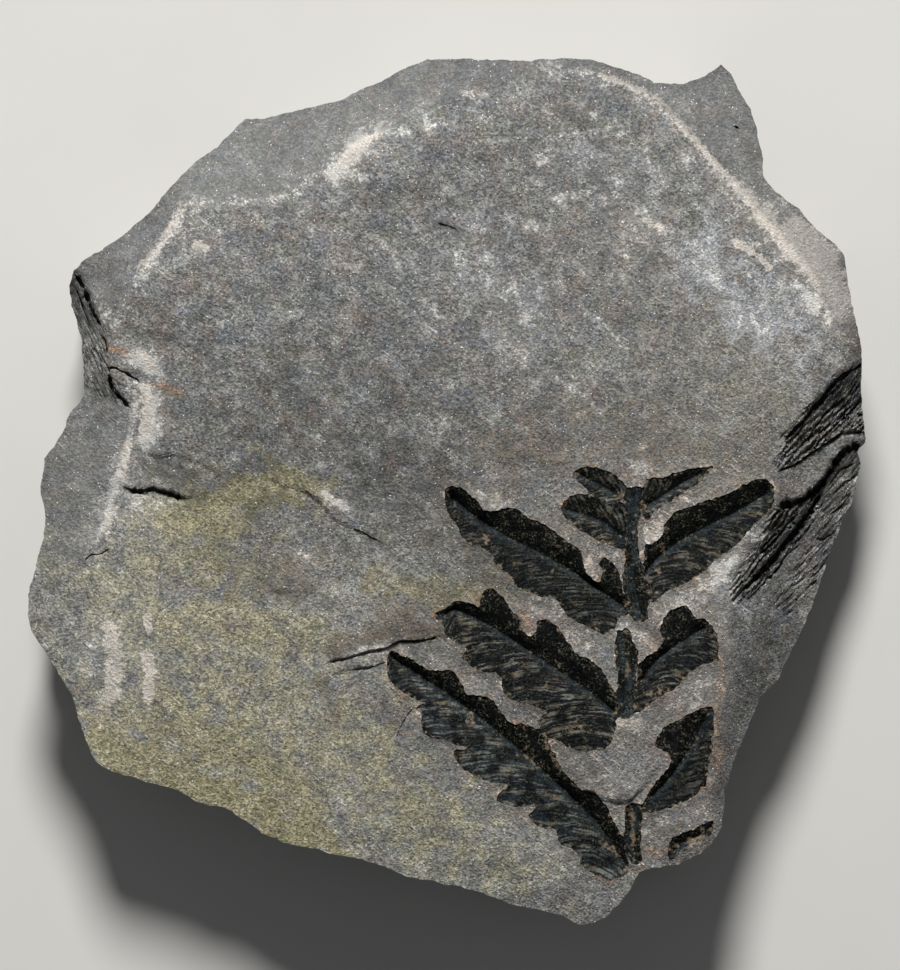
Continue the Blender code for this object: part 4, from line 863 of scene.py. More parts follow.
def sideRows(rim):
    # rows of points down the sides, from under the rim to the underside
    reach = np.linalg.norm(rim[:, :2], axis=1)
    wander = sides["wander"][0] * noiseAt(rim, sides["wander"][1], 2.0)
    shares, insets = [], []
    for k, (share, inset) in enumerate(sides["profile"]):
        ragged = sides["ragged"][0] * noiseAt(rim, sides["ragged"][1], 8.0 + k)
        shares.append(share)
        insets.append(np.maximum(inset * (1 + ragged + wander), 0.05) if k else np.zeros(len(rim)))
    shares, insets = np.array(shares[::-1]), np.array(insets[::-1])
    rows = []
    for row in range(1, slab["wallRows"] + 1):
        share = 1 - row / slab["wallRows"]
        above = min(np.searchsorted(shares, share, side="right"), len(shares) - 1)
        part = (share - shares[above - 1]) / (shares[above] - shares[above - 1])
        depth = insets[above - 1] * (1 - part) + insets[above] * part
        z = rim[:, 2] * share
        leaf = np.floor((z + 0.5 * noiseAt(rim, 8.0, 21.0)) / sides["leaf"])
        out = keyedNoise(rim, 3.6, 5.3 * leaf) + 0.5 * keyedNoise(rim, 1.3, 3.7 * leaf)
        chip = noiseAt(rim, 0.8, 40.0 + 0.9 * row)
        settle = eased(rim[:, 2] - z, 0, 0.9)
        depth = depth + settle * (sides["back"] + sides["leafStep"] * out + sides["chips"] * chip)
        depth = np.maximum(depth, 0.02)
        points = rim.copy()
        points[:, :2] *= (1 - depth / reach)[:, None]
        points[:, 2] = z
        rows.append(points)
    return rows


def slabMesh():
    edge = evenly(onPlate(np.array(slab["edge"])[:, :2]), slab["edgeStep"], True)
    large, small = slab["chips"]
    chipped = 0.02 + large * np.abs(noiseAt(edge, 1.7, 30.5, 3)) + small * np.abs(noiseAt(edge, 0.6, 33.5))
    edge = edge - (offsetLine(edge, 1.0, True) - edge) * chipped[:, None]
    plan, faces = facePlan(edge)
    depth, beside = bedDepth(plan)
    height = roughFace(plan) + slab["lip"] * np.exp(-beside / 0.6) * (beside > 0)
    corners = np.column_stack((plan, height - depth))
    rim = rimOf(faces)
    parts, above, first = [faces], rim, len(corners)
    rows = sideRows(corners[rim])
    for _ in rows:
        below = np.arange(first, first + len(rim))
        a, b = above, np.roll(above, -1)
        c, d = below, np.roll(below, -1)
        parts += [np.column_stack((a, c, d)), np.column_stack((a, d, b))]
        above, first = below, first + len(rim)
    corners = np.vstack([corners] + rows)
    # the underside: flat, with shallow hollows
    foot = corners[above][:, :2]
    inner = evenGrid(slab["underStep"])
    inner = inner[within(inner, foot)]
    inner = inner[nearest(inner, foot, closed=True)[0] > 0.5]
    plan, underFaces = triangles(np.vstack((foot, inner)), loopPairs(0, len(foot), True))
    closest = nearestCorner(plan, foot)
    broad, small = slab["hollows"]
    hollow = broad * np.clip(noiseAt(plan, 9.0, 50.0, 3) + 0.15, 0, 1)
    hollow += small * np.clip(noiseAt(plan, 1.5, 52.0), 0, 1)
    isFoot = closest >= 0
    hollow[isFoot] = 0
    number = np.where(isFoot, above[closest], 0)
    number[~isFoot] = len(corners) + np.arange((~isFoot).sum())
    corners = np.vstack((corners, np.column_stack((plan, hollow))[~isFoot]))
    parts.append(number[underFaces[:, ::-1]])
    return corners, np.vstack(parts), len(height), beside


def nearestCorner(plan, foot):
    # for each point, the corner of the foot that it is, or -1
    table = {(round(x, 4), round(y, 4)): k for k, (x, y) in enumerate(foot.tolist())}
    return np.array([table.get((round(x, 4), round(y, 4)), -1) for x, y in plan.tolist()])


# Weathering, dirt and painted shade on the face: how strong, how wide in millimetres, and the line it
# follows.
stains = {
    "bloom": [
        (0.6, 0.35, [(19.2, 20.3), (22.5, 20.2), (26, 19.9), (29, 19.5)]),
        (0.5, 0.5, [(29, 19.5), (31, 18), (33, 16.6)]), (1.2, 1.1, [(33.8, 17), (35, 15.6), (36.6, 14)]),
        (0.9, 0.7, [(36.6, 14), (38.3, 12.7)]), (0.25, 1.0, [(22, 20.6), (30, 19.6), (36, 15)]),
        (0.7, 0.4, [(39.5, 13.6), (40.4, 13.2)]), (0.8, 0.45, [(42.3, 11), (42.8, 13)]),
        (0.8, 0.4, [(46.2, 9.3), (46.8, 9.1)]), (0.9, 0.4, [(54.8, 6.6), (55.6, 6.5)]),
        (0.6, 0.4, [(57.5, 7), (60, 7.4)]), (0.3, 0.5, [(64, 9.4), (67, 12.1), (70, 15)]),
        (0.2, 1.2, [(59, 8), (64, 10), (68, 13.6), (73, 18.4)]),
        (0.5, 0.5, [(70.2, 25.6), (71.2, 27.4), (71.8, 28.8)]),
        (0.45, 0.9, [(72, 29), (73.6, 31.8), (78, 33)]), (1.1, 0.7, [(80.1, 28.7), (81, 30), (81.7, 31.3)]),
        (1.0, 0.7, [(82.6, 28.6), (83.6, 30.8)]), (0.7, 0.4, [(70, 25.4), (70.8, 26.6), (71.3, 28.6)]),
        (0.4, 0.7, [(69, 24), (71.5, 26.5)]),
        (0.8, 0.5, [(18.1, 21.6), (17, 23.2), (15.8, 25.2), (14.2, 27.6)]),
        (0.6, 0.4, [(14, 27.8), (12.6, 29.8), (11.4, 32.4)]),
        (0.3, 0.9, [(18, 22), (15.4, 26.4), (12.4, 30.6)]), (0.45, 0.8, [(9.6, 29), (10.6, 32)]),
        (0.4, 1.3, [(19, 22), (21, 24)]), (1.1, 0.8, [(13.8, 35.4), (15.1, 36), (15.3, 37.2)]),
        (0.6, 0.5, [(15, 34.4), (15.4, 35)]),
        (1.3, 0.75, [(14.6, 38.8), (15, 40), (15.1, 41.6), (14.6, 43.8)]),
        (0.8, 0.6, [(13.6, 39.2), (13.4, 42)]),
        (0.95, 0.6, [(13.2, 41.6), (12.6, 44), (12, 47), (11.4, 48.8)]), (0.3, 1.2, [(13, 41), (11.6, 49)]),
        (0.9, 0.6, [(11.4, 48.8), (10.9, 50.6), (10.6, 51.9)]), (0.5, 1.0, [(13, 50.2), (15.6, 51)]),
        (0.9, 0.6, [(10.6, 51.9), (9.8, 53.5), (8.6, 55.3)]), (0.5, 1.3, [(10.8, 50), (8.4, 55)]),
        (0.5, 1.2, [(10.8, 62.8), (11.1, 69.8)]), (0.5, 0.6, [(14.8, 65.2), (14.8, 70.8)]),
        (0.5, 0.9, [(8.2, 65.6), (9.8, 67.6)]), (0.4, 1.3, [(9, 64), (10.8, 68), (14, 70)]),
        (1.0, 0.45, [(32.4, 49.4), (33.8, 50.3), (34.6, 50.8)]), (0.6, 0.4, [(30.2, 55.4), (30.8, 55.7)]),
        (0.7, 0.45, [(35.5, 65.3), (37.2, 65.1), (38.6, 64.4)]), (0.5, 0.4, [(43, 65.6), (44.6, 65.4)]),
        (1.1, 0.7, [(71.6, 57.8), (72.6, 56.8), (73.4, 56)]), (0.6, 0.9, [(72.5, 57.5), (74.6, 53.8)]),
        (0.6, 0.35, [(59, 11.5), (61, 12.8), (63, 14)]), (0.7, 0.3, [(55.4, 19.9), (57, 19.7), (59, 19.6)]),
        (0.7, 0.35, [(54, 15.8), (54.2, 16.2)]), (0.7, 0.35, [(53.6, 18.2), (53.8, 18.4)]),
        (0.7, 0.4, [(53.4, 22.4), (53.6, 22.8)]), (0.85, 0.3, [(64, 21), (65, 21.8), (66, 22.8)]),
        (0.7, 0.35, [(66, 12.8), (66.2, 13.3)]), (0.7, 0.35, [(68.4, 16.3), (68.7, 16.8)]),
        (0.6, 0.16, [(37.6, 23.4), (38.8, 24.8), (39.8, 26.6)]),
        (0.7, 0.13, [(41.7, 29.6), (43, 30.6), (44.1, 31.8)]),
        (0.8, 0.4, [(51.2, 28.2), (51.9, 30), (52.2, 31.6)]),
        (0.5, 0.14, [(47.8, 24.6), (48.6, 25.8), (50, 27.4)]),
        (0.32, 1.8, [(46.4, 26), (49, 28.5), (52, 32)]), (0.5, 0.3, [(52, 35.5), (56, 38), (60, 41)]),
        (0.35, 0.6, [(31, 37), (34, 41)]), (0.6, 0.4, [(31.5, 43.5), (32.3, 44.2)]),
        (0.5, 0.4, [(64.5, 15.5), (66.5, 18.5)]), (0.3, 2.4, [(55, 12), (60, 18), (64, 24)]),
        (0.5, 0.16, [(27.8, 30.6), (29.4, 31.6)]), (0.5, 0.14, [(55, 24), (57.4, 26.2), (59, 28)]),
        (0.5, 0.14, [(58.6, 31), (61, 33), (63, 35.4)]), (0.7, 0.5, [(63.2, 46.7), (64, 47)]),
        (0.5, 0.6, [(62, 63.2), (64.4, 63.6)]), (0.6, 0.5, [(72.4, 62.4), (73, 64.5)]),
        (0.3, 1.0, [(40, 52), (46, 53)])],
    "crest": [
        (0.75, 0.5, [(60.5, 7.6), (64.8, 9.3), (65.8, 10), (67.7, 12.2), (70, 14.6)]),
        (0.85, 0.5, [(70, 14.6), (71.5, 16.3), (72.7, 17.5), (74.2, 19.2)]),
        (0.85, 0.7, [(74.2, 19.2), (76.8, 22.2), (79.1, 24.7), (81, 26.9), (83, 29.2)]),
        (0.8, 0.6, [(80.2, 24.2), (82, 26.8), (83.4, 29.6), (84.2, 31.2)]),
        (0.7, 0.6, [(18.3, 21), (17, 22.6), (15.6, 24.8), (14.2, 26.6)]),
        (0.9, 0.8, [(34.4, 16.2), (35.4, 15), (36.6, 14)]), (0.7, 0.5, [(36.6, 14), (37.8, 13.2)]),
        (1.0, 0.45, [(19.7, 24.5), (20.6, 24.9)]), (0.9, 0.4, [(73.5, 24.2), (75.2, 25.3)]),
        (0.9, 0.4, [(75.8, 25.6), (77, 26.8)]), (0.8, 0.4, [(64.5, 21.9), (65.2, 22.6), (66.4, 23)]),
        (0.9, 0.6, [(14.2, 35.6), (15, 36.2), (15, 37)]), (0.9, 0.7, [(14.6, 39), (14.9, 41), (14.4, 43)]),
        (1.0, 0.85, [(11, 62.9), (11.3, 65.6), (11.3, 67.6), (11.1, 69.6)]),
        (0.8, 0.5, [(12.8, 43.6), (12.2, 47.4)]), (0.85, 0.5, [(14.7, 61.6), (14.9, 63.2)]),
        (0.9, 0.6, [(14.7, 65.6), (15, 67.6), (14.8, 70)]), (0.8, 0.4, [(32.6, 49.5), (34, 50.4)]),
        (0.75, 0.5, [(11.4, 50.6), (10.6, 52.6)]), (0.7, 0.4, [(37, 65.2), (38.6, 64.7)]),
        (0.6, 0.4, [(30.2, 55.4), (30.8, 55.7)])],
    "cream": [
        (0.9, 0.7, [(73.8, 18.2), (75.6, 20.4), (77.5, 22)]),
        (1.25, 1.4, [(76.8, 21.8), (79, 24.2), (81.2, 27), (83, 29.6)]),
        (1.2, 1.3, [(80, 22.8), (82, 25), (83.6, 27.6), (84.4, 30.6)]),
        (0.9, 0.7, [(61.8, 72.4), (63, 72), (64, 72.6)]), (0.4, 1.0, [(64.5, 47), (70, 50)]),
        (0.7, 0.7, [(47.6, 49.6), (49.6, 50.5)]), (0.3, 0.8, [(57, 53.3), (59.6, 54.8), (61.4, 56)]),
        (0.8, 0.6, [(58.9, 55.8), (59.4, 57)]), (0.75, 0.8, [(65.6, 52.6), (65, 53.6)]),
        (0.4, 0.8, [(64.2, 63.6), (65.2, 64.6)]), (0.4, 1.0, [(64.8, 72), (68, 70.6), (71, 68.6)]),
        (0.5, 0.8, [(53.5, 60.5), (55.2, 61.4), (58, 63.4)]),
        (0.55, 0.8, [(66, 61.4), (69.5, 59.2), (73.6, 55.5)]),
        (0.3, 0.9, [(72.4, 58), (72.6, 64), (72.2, 69)]), (0.4, 0.7, [(64.8, 83.6), (66, 84.2)]),
        (0.4, 0.8, [(66.4, 82.4), (70.6, 81.4)]), (0.3, 1.2, [(57.6, 76.2), (61, 78.6)]),
        (0.3, 0.8, [(42.6, 66), (48, 68.6)])],
    "chalk": [
        (0.9, 2.0, [(70.6, 25.6), (72.6, 28.6), (74.6, 31.6), (78.5, 33)]),
        (0.6, 1.0, [(75, 27), (79, 30)]), (0.8, 0.8, [(75.8, 33.6), (77.2, 34)]),
        (0.5, 0.7, [(80.2, 33), (80.6, 36), (80.2, 39)]), (0.4, 2.6, [(73, 27), (77, 30)]),
        (0.3, 2.4, [(47, 24), (52, 30)]), (0.3, 1.2, [(59.5, 48), (60.5, 50.3)]),
        (0.4, 0.8, [(45.6, 53.4), (46, 55.6)]), (0.25, 2.5, [(58, 14), (64, 19)])],
    "olive": [
        (1.1, 2.6, [(10.5, 74.5), (15, 77), (20, 79), (27, 82), (31, 83.6)]),
        (0.75, 4.0, [(14, 71), (22, 74), (30, 79)]),
        (1.0, 1.5, [(19, 50.6), (23, 50), (25.5, 49.2), (29, 48.9)]),
        (0.9, 1.6, [(16, 51.6), (20, 52.6), (23, 52.8)]),
        (1.2, 0.8, [(19, 50.8), (21.5, 50), (24.4, 48.4), (27, 47.7), (30, 48.3), (32.4, 49.4)]),
        (0.7, 1.4, [(19, 55), (22.6, 55.4)]), (0.55, 3.0, [(14, 56), (20, 57), (25, 58)]),
        (0.6, 1.5, [(38, 58.2), (44, 59.5), (49, 59.4)]), (0.65, 2.8, [(17, 62), (25, 62.4), (30, 64)]),
        (0.6, 3.5, [(34, 72), (38, 78), (44, 83)]), (0.5, 1.8, [(45, 84), (52, 87)]),
        (0.5, 6.0, [(12, 60), (22, 66), (32, 74)]), (0.35, 0.8, [(72, 38), (72.6, 38.4)]),
        (0.4, 0.7, [(70, 44.5), (71, 45)])],
    "rust": [
        (0.9, 0.3, [(10.9, 34.9), (12.7, 35.2)]), (0.7, 0.35, [(14.6, 38.4), (16.4, 38.7), (18, 39.2)]),
        (0.6, 0.4, [(76.2, 21.1), (76.7, 21.5)]), (0.5, 0.3, [(71.9, 64), (72.1, 67), (72, 70)]),
        (0.6, 0.4, [(58.8, 56), (59.5, 57.3)]), (0.5, 0.4, [(52.3, 61.4), (53, 62.6)]),
        (0.45, 0.4, [(47.6, 59.6), (48.3, 60.2)]), (0.5, 0.4, [(64.6, 63.6), (65.4, 64.8)]),
        (0.4, 0.5, [(71.5, 71), (71.9, 77)]), (0.4, 0.5, [(64.8, 84.8), (68, 86)]),
        (0.3, 0.8, [(62.5, 47), (65.5, 46.8)])],
    # brown staining, but the strokes at (33.6, 65) and (84.7, 32.2) are painted shadow
    "umber": [
        (0.8, 0.8, [(33.6, 65), (37, 63.8), (40.6, 62.8), (44, 62.4)]),
        (0.5, 1.6, [(38.4, 61.4), (44, 60.8)]), (0.9, 0.8, [(84.7, 32.2), (85.6, 34.6)]),
        (0.5, 2.6, [(50, 45.5), (62, 44), (74, 45.5)]), (0.5, 1.2, [(27, 56.2), (30.4, 58.4)]),
        (0.4, 0.8, [(32.4, 68), (33.4, 72)]), (0.5, 0.7, [(58.8, 55.2), (59.6, 57)]),
        (0.5, 0.7, [(65, 53.4), (66, 52.4)]), (0.4, 0.8, [(65.4, 63.4), (66, 64.2)]),
        (0.4, 1.0, [(55.6, 75.4), (57.2, 77.4)]), (0.25, 7.0, [(62, 26), (70, 32), (76, 40)]),
        (0.3, 1.2, [(66, 61.5), (71, 66)]), (0.35, 0.7, [(73.6, 8.5), (74.8, 13), (75.6, 17)]),
        (0.4, 0.5, [(45, 57.6), (50, 58.6)]), (0.4, 0.6, [(38, 70), (40.4, 73.4)])],
    "worn": [
        (1.0, 7.0, [(13, 60), (20, 68), (30, 72)]), (1.4, 2.0, [(15, 51), (22, 51.2), (28, 49.6)]),
        (0.8, 6.0, [(73, 35), (76, 39), (70, 42)]), (0.7, 6.0, [(34, 60), (44, 57)]),
        (0.8, 6.0, [(34, 80), (50, 87)]), (1.2, 5.0, [(12, 74), (24, 79)])],
    # painted shade on facets and below ledges and cracks, and a darker tone in other places
    "paintedShadeAndDarkTone": [
        (0.4, 1.2, [(73, 61), (73.2, 66), (72.8, 71)]), (0.6, 0.9, [(64.6, 62.6), (66, 64.2)]),
        (0.35, 1.2, [(42.6, 66.4), (45.6, 67.6)]), (0.45, 2.4, [(39, 53), (42, 55), (44, 58)]),
        (0.35, 1.6, [(32, 42.6), (36, 43)]), (0.6, 1.5, [(47, 65), (50, 67.4), (53, 70.4), (55, 72.4)]),
        (0.4, 1.6, [(55, 9.8), (58.6, 12.6)]), (0.35, 1.6, [(38.4, 17), (41, 18.6), (44, 21)]),
        (0.4, 1.4, [(50, 24), (52.4, 25)]), (0.35, 2.2, [(64.6, 46), (66, 42), (68, 35.6)]),
        (0.5, 4.5, [(20, 42), (28, 44)]), (0.6, 2.2, [(77.4, 61), (75.4, 67), (74, 74), (73, 81)]),
        (0.5, 1.6, [(13.6, 30.6), (15.2, 33)]),
        (0.5, 1.4, [(26, 51), (29.4, 50.4), (31.4, 51.6), (35, 55)]),
        (0.7, 2.6, [(38.4, 44.8), (41, 47), (44, 48.6), (46.4, 53.6), (49.6, 57)]),
        (0.5, 0.9, [(60, 55.6), (61, 57.6)]), (0.45, 3.2, [(31, 35), (36, 36), (40, 40), (40, 44)]),
        (0.4, 1.6, [(56.6, 17), (58.6, 18.4)]), (0.35, 1.4, [(53.6, 13.6), (55, 14.6)]),
        (0.45, 1.6, [(52, 59.6), (56, 61), (58, 62)]), (0.5, 1.2, [(64.4, 69), (66, 71.4), (64, 73)]),
        (0.4, 1.2, [(67, 71.6), (70, 70.4)]), (0.3, 2.6, [(48, 8), (54, 8.4), (62, 9)]),
        (0.1, 3.4, [(5, 46), (5.4, 52)]), (0.2, 3.0, [(81, 57), (77.5, 65)]),
        (0.35, 5.0, [(40, 46), (46, 52)]), (0.6, 3.0, [(29, 38.4), (33.5, 43), (36, 47.5)]),
        (0.75, 2.3, [(36.5, 47.5), (40, 50), (43.2, 53.8)]), (0.6, 1.2, [(38.6, 63.4), (43.4, 64.8)]),
        (0.35, 1.6, [(43.4, 71.5), (43.2, 76)]), (0.3, 1.5, [(66, 83), (71, 83.6)]),
        (0.35, 1.5, [(56, 74), (58, 77.6)]), (0.35, 1.4, [(79.6, 47.8), (82.4, 46.2)]),
        (0.2, 1.6, [(81.4, 51), (75, 59)]), (0.3, 1.5, [(7.6, 29), (9.4, 35.6), (11, 39)])],
    # dark grime, and painted shade in the cracks, along the ledge and under the bench edge of the steep break
    "grimeAndShade": [
        (0.8, 0.3, [(43.8, 22.3), (46.2, 23.2)]), (0.5, 0.4, [(76.4, 26.8), (80, 27.5)]),
        (0.7, 0.15, [(73.4, 12.6), (73.9, 12.8)]), (0.6, 0.5, [(14.2, 45), (18, 46.8), (20, 48.4)]),
        (0.5, 0.9, [(14.4, 46.4), (17, 47.8), (19.6, 48.8)]), (0.3, 0.5, [(8, 27.6), (9, 30.5), (9.8, 32)]),
        (0.5, 0.6, [(20.5, 49), (22.6, 48), (24.4, 47), (27, 46.8)]), (0.4, 0.9, [(25, 51.4), (27.6, 50)]),
        (0.35, 0.5, [(32.5, 68), (33.2, 71)]), (0.35, 0.8, [(26, 58), (30, 60)]),
        (0.3, 0.9, [(21, 53.6), (24, 56), (23, 59)]), (0.25, 0.3, [(86, 36.8), (82.6, 39.8), (79.4, 43.6)]),
        (0.8, 0.45, [(83.8, 46.6), (81.8, 49.4), (78.6, 51.6)]),
        (0.7, 0.6, [(80.6, 52), (77.4, 56), (74.6, 59)])],
}


def stained(points, strokes, wander):
    amount = np.zeros(len(points))
    for strength, width, line in strokes:
        line = onPlate(line)
        near = closeTo(points, line, 4 * width + 1)
        gap = nearest(points[near], line)[0] * (1 + 0.8 * wander[near]) + 0.7 * width * wander[near]
        gap = np.clip(gap, 0, None) / width
        # a firm middle with a faint, wider border
        fading = 0.7 * np.exp(-gap ** 2) + 0.3 * np.exp(-(gap / 2.2) ** 2)
        amount[near] = np.maximum(amount[near], strength * fading)
    return amount


def makePiece(name, corners, faces, values, material, body="root"):
    mesh = bpy.data.meshes.new(name)
    mesh.from_pydata((corners * mm).tolist(), [], faces.tolist())
    mesh.polygons.foreach_set("use_smooth", np.ones(len(faces), dtype=bool))
    mesh.update()
    mesh.set_sharp_from_angle(angle=math.radians(55))
    for key, numbers in values.items():
        mesh.attributes.new(key, "FLOAT", "POINT").data.foreach_set("value", numbers.astype(np.float32))
    mesh.materials.append(material)
    piece = bpy.data.objects.new(name, mesh)
    bpy.context.scene.collection.objects.link(piece)
    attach(piece, body)
    return piece


# Small helpers for materials
def newMaterial(name):
    material = bpy.data.materials.new(name)
    material.use_nodes = True
    tree = material.node_tree
    return material, tree, tree.nodes["Principled BSDF"]


def addNode(tree, kind, inputs=None, **settings):
    made = tree.nodes.new(kind)
    for key, value in settings.items():
        setattr(made, key, value)
    for key, value in (inputs or {}).items():
        if isinstance(value, bpy.types.NodeSocket):
            tree.links.new(value, made.inputs[key])
        else:
            made.inputs[key].default_value = value
    return made


def plateSpace(tree, scale=(1, 1, 1), angle=0.0, shift=0.0):
    # object coordinates in millimetres, turned about z, stretched and moved along
    place = addNode(tree, "ShaderNodeTexCoord").outputs["Object"]
    turned = addNode(tree, "ShaderNodeMapping", {"Vector": place, "Rotation": (0, 0, math.radians(-angle))})
    wide = tuple(1000 * s for s in scale)
    moved = {"Vector": turned.outputs[0], "Scale": wide, "Location": (shift, 2 * shift, 3 * shift)}
    return addNode(tree, "ShaderNodeMapping", moved).outputs[0]


def grainTexture(tree, place, scale, detail=3.0, rough=0.6):
    wanted = {"Vector": place, "Scale": scale, "Detail": detail, "Roughness": rough}
    return addNode(tree, "ShaderNodeTexNoise", wanted, noise_dimensions="3D").outputs["Fac"]


def asRange(tree, value, low, high, start=0.0, end=1.0):
    made = addNode(tree, "ShaderNodeMapRange", {"Value": value, "From Min": low, "From Max": high,
                                                "To Min": start, "To Max": end})
    made.clamp = True
    return made.outputs[0]


def calc(tree, how, a, b=0.0, clamp=False):
    made = addNode(tree, "ShaderNodeMath", {0: a, 1: b}, operation=how)
    made.use_clamp = clamp
    return made.outputs[0]


def times(tree, a, b, clamp=False):
    return calc(tree, "MULTIPLY", a, b, clamp)


def plus(tree, a, b, clamp=False):
    return calc(tree, "ADD", a, b, clamp)


def mixed(tree, amount, a, b, how="MIX"):
    made = addNode(tree, "ShaderNodeMix", data_type="RGBA", blend_type=how)
    for key, value in ((0, amount), (6, a), (7, b)):
        if isinstance(value, bpy.types.NodeSocket):
            tree.links.new(value, made.inputs[key])
        else:
            made.inputs[key].default_value = value
    return made.outputs[2]


def summed(tree, parts):
    # several values added up, each by its weight
    total = 0.0
    for value, weight in parts:
        total = plus(tree, total, times(tree, value, weight))
    return total


def attribute(tree, name):
    return addNode(tree, "ShaderNodeAttribute", attribute_name=name).outputs["Fac"]


def colour(red, green, blue):
    # a screen colour out of 255
    linear = [c / 255 / 12.92 if c < 10.3 else ((c / 255 + 0.055) / 1.055) ** 2.4 for c in (red, green, blue)]
    return (*linear, 1.0)


shale = {
    "grey": colour(131, 132, 131),
    "dark": colour(106, 107, 106),
    "pale": colour(162, 161, 157),
    "worn": colour(163, 162, 151),
    "olive": colour(154, 147, 113),
    "moss": colour(116, 124, 92),
    "brown": colour(146, 124, 112),
    "green": colour(122, 128, 106),
    "blue": colour(110, 120, 134),
    "bloom": colour(214, 213, 208),
    "cream": colour(214, 207, 197),
    "chalk": colour(180, 186, 194),
    "rust": colour(164, 120, 80),
    "umber": colour(108, 95, 80),
    "grimeAndShade": colour(56, 55, 53),
    # painted glint of the mica flakes
    "micaGlint": colour(242, 242, 240),
    "warm": (1.07, 1.0, 0.94, 1.0),     # single grains are a little warmer or cooler than the stone
    "cool": (0.95, 0.99, 1.05, 1.0),
    "grain": 0.5,             # how much lighter or darker than the stone a single grain may be
    "paintedShadeAndDarkTone": 0.62,              # how much light the dimmest places lose
    # painted shade on the slopes past the crests: their colour, and how light they are painted
    "slope": colour(126, 128, 128),
    "past": 0.82,             # how light the slopes past the crests are
    "roughness": (0.72, 0.92),
    "gloss": 0.3,
    "bump": (0.7, 0.00025),   # strength, and depth in metres
}


def finishShader(tree, shader, finish, base, fine, height):
    # what every material ends with
    low, high = finish["roughness"]
    strength, depth = finish["bump"]
    tree.links.new(base, shader.inputs["Base Color"])
    tree.links.new(asRange(tree, fine, 0.3, 0.7, low, high), shader.inputs["Roughness"])
    shader.inputs["Specular IOR Level"].default_value = finish["gloss"]
    bump = addNode(tree, "ShaderNodeBump", {"Height": height, "Strength": strength, "Distance": depth})
    tree.links.new(bump.outputs[0], shader.inputs["Normal"])


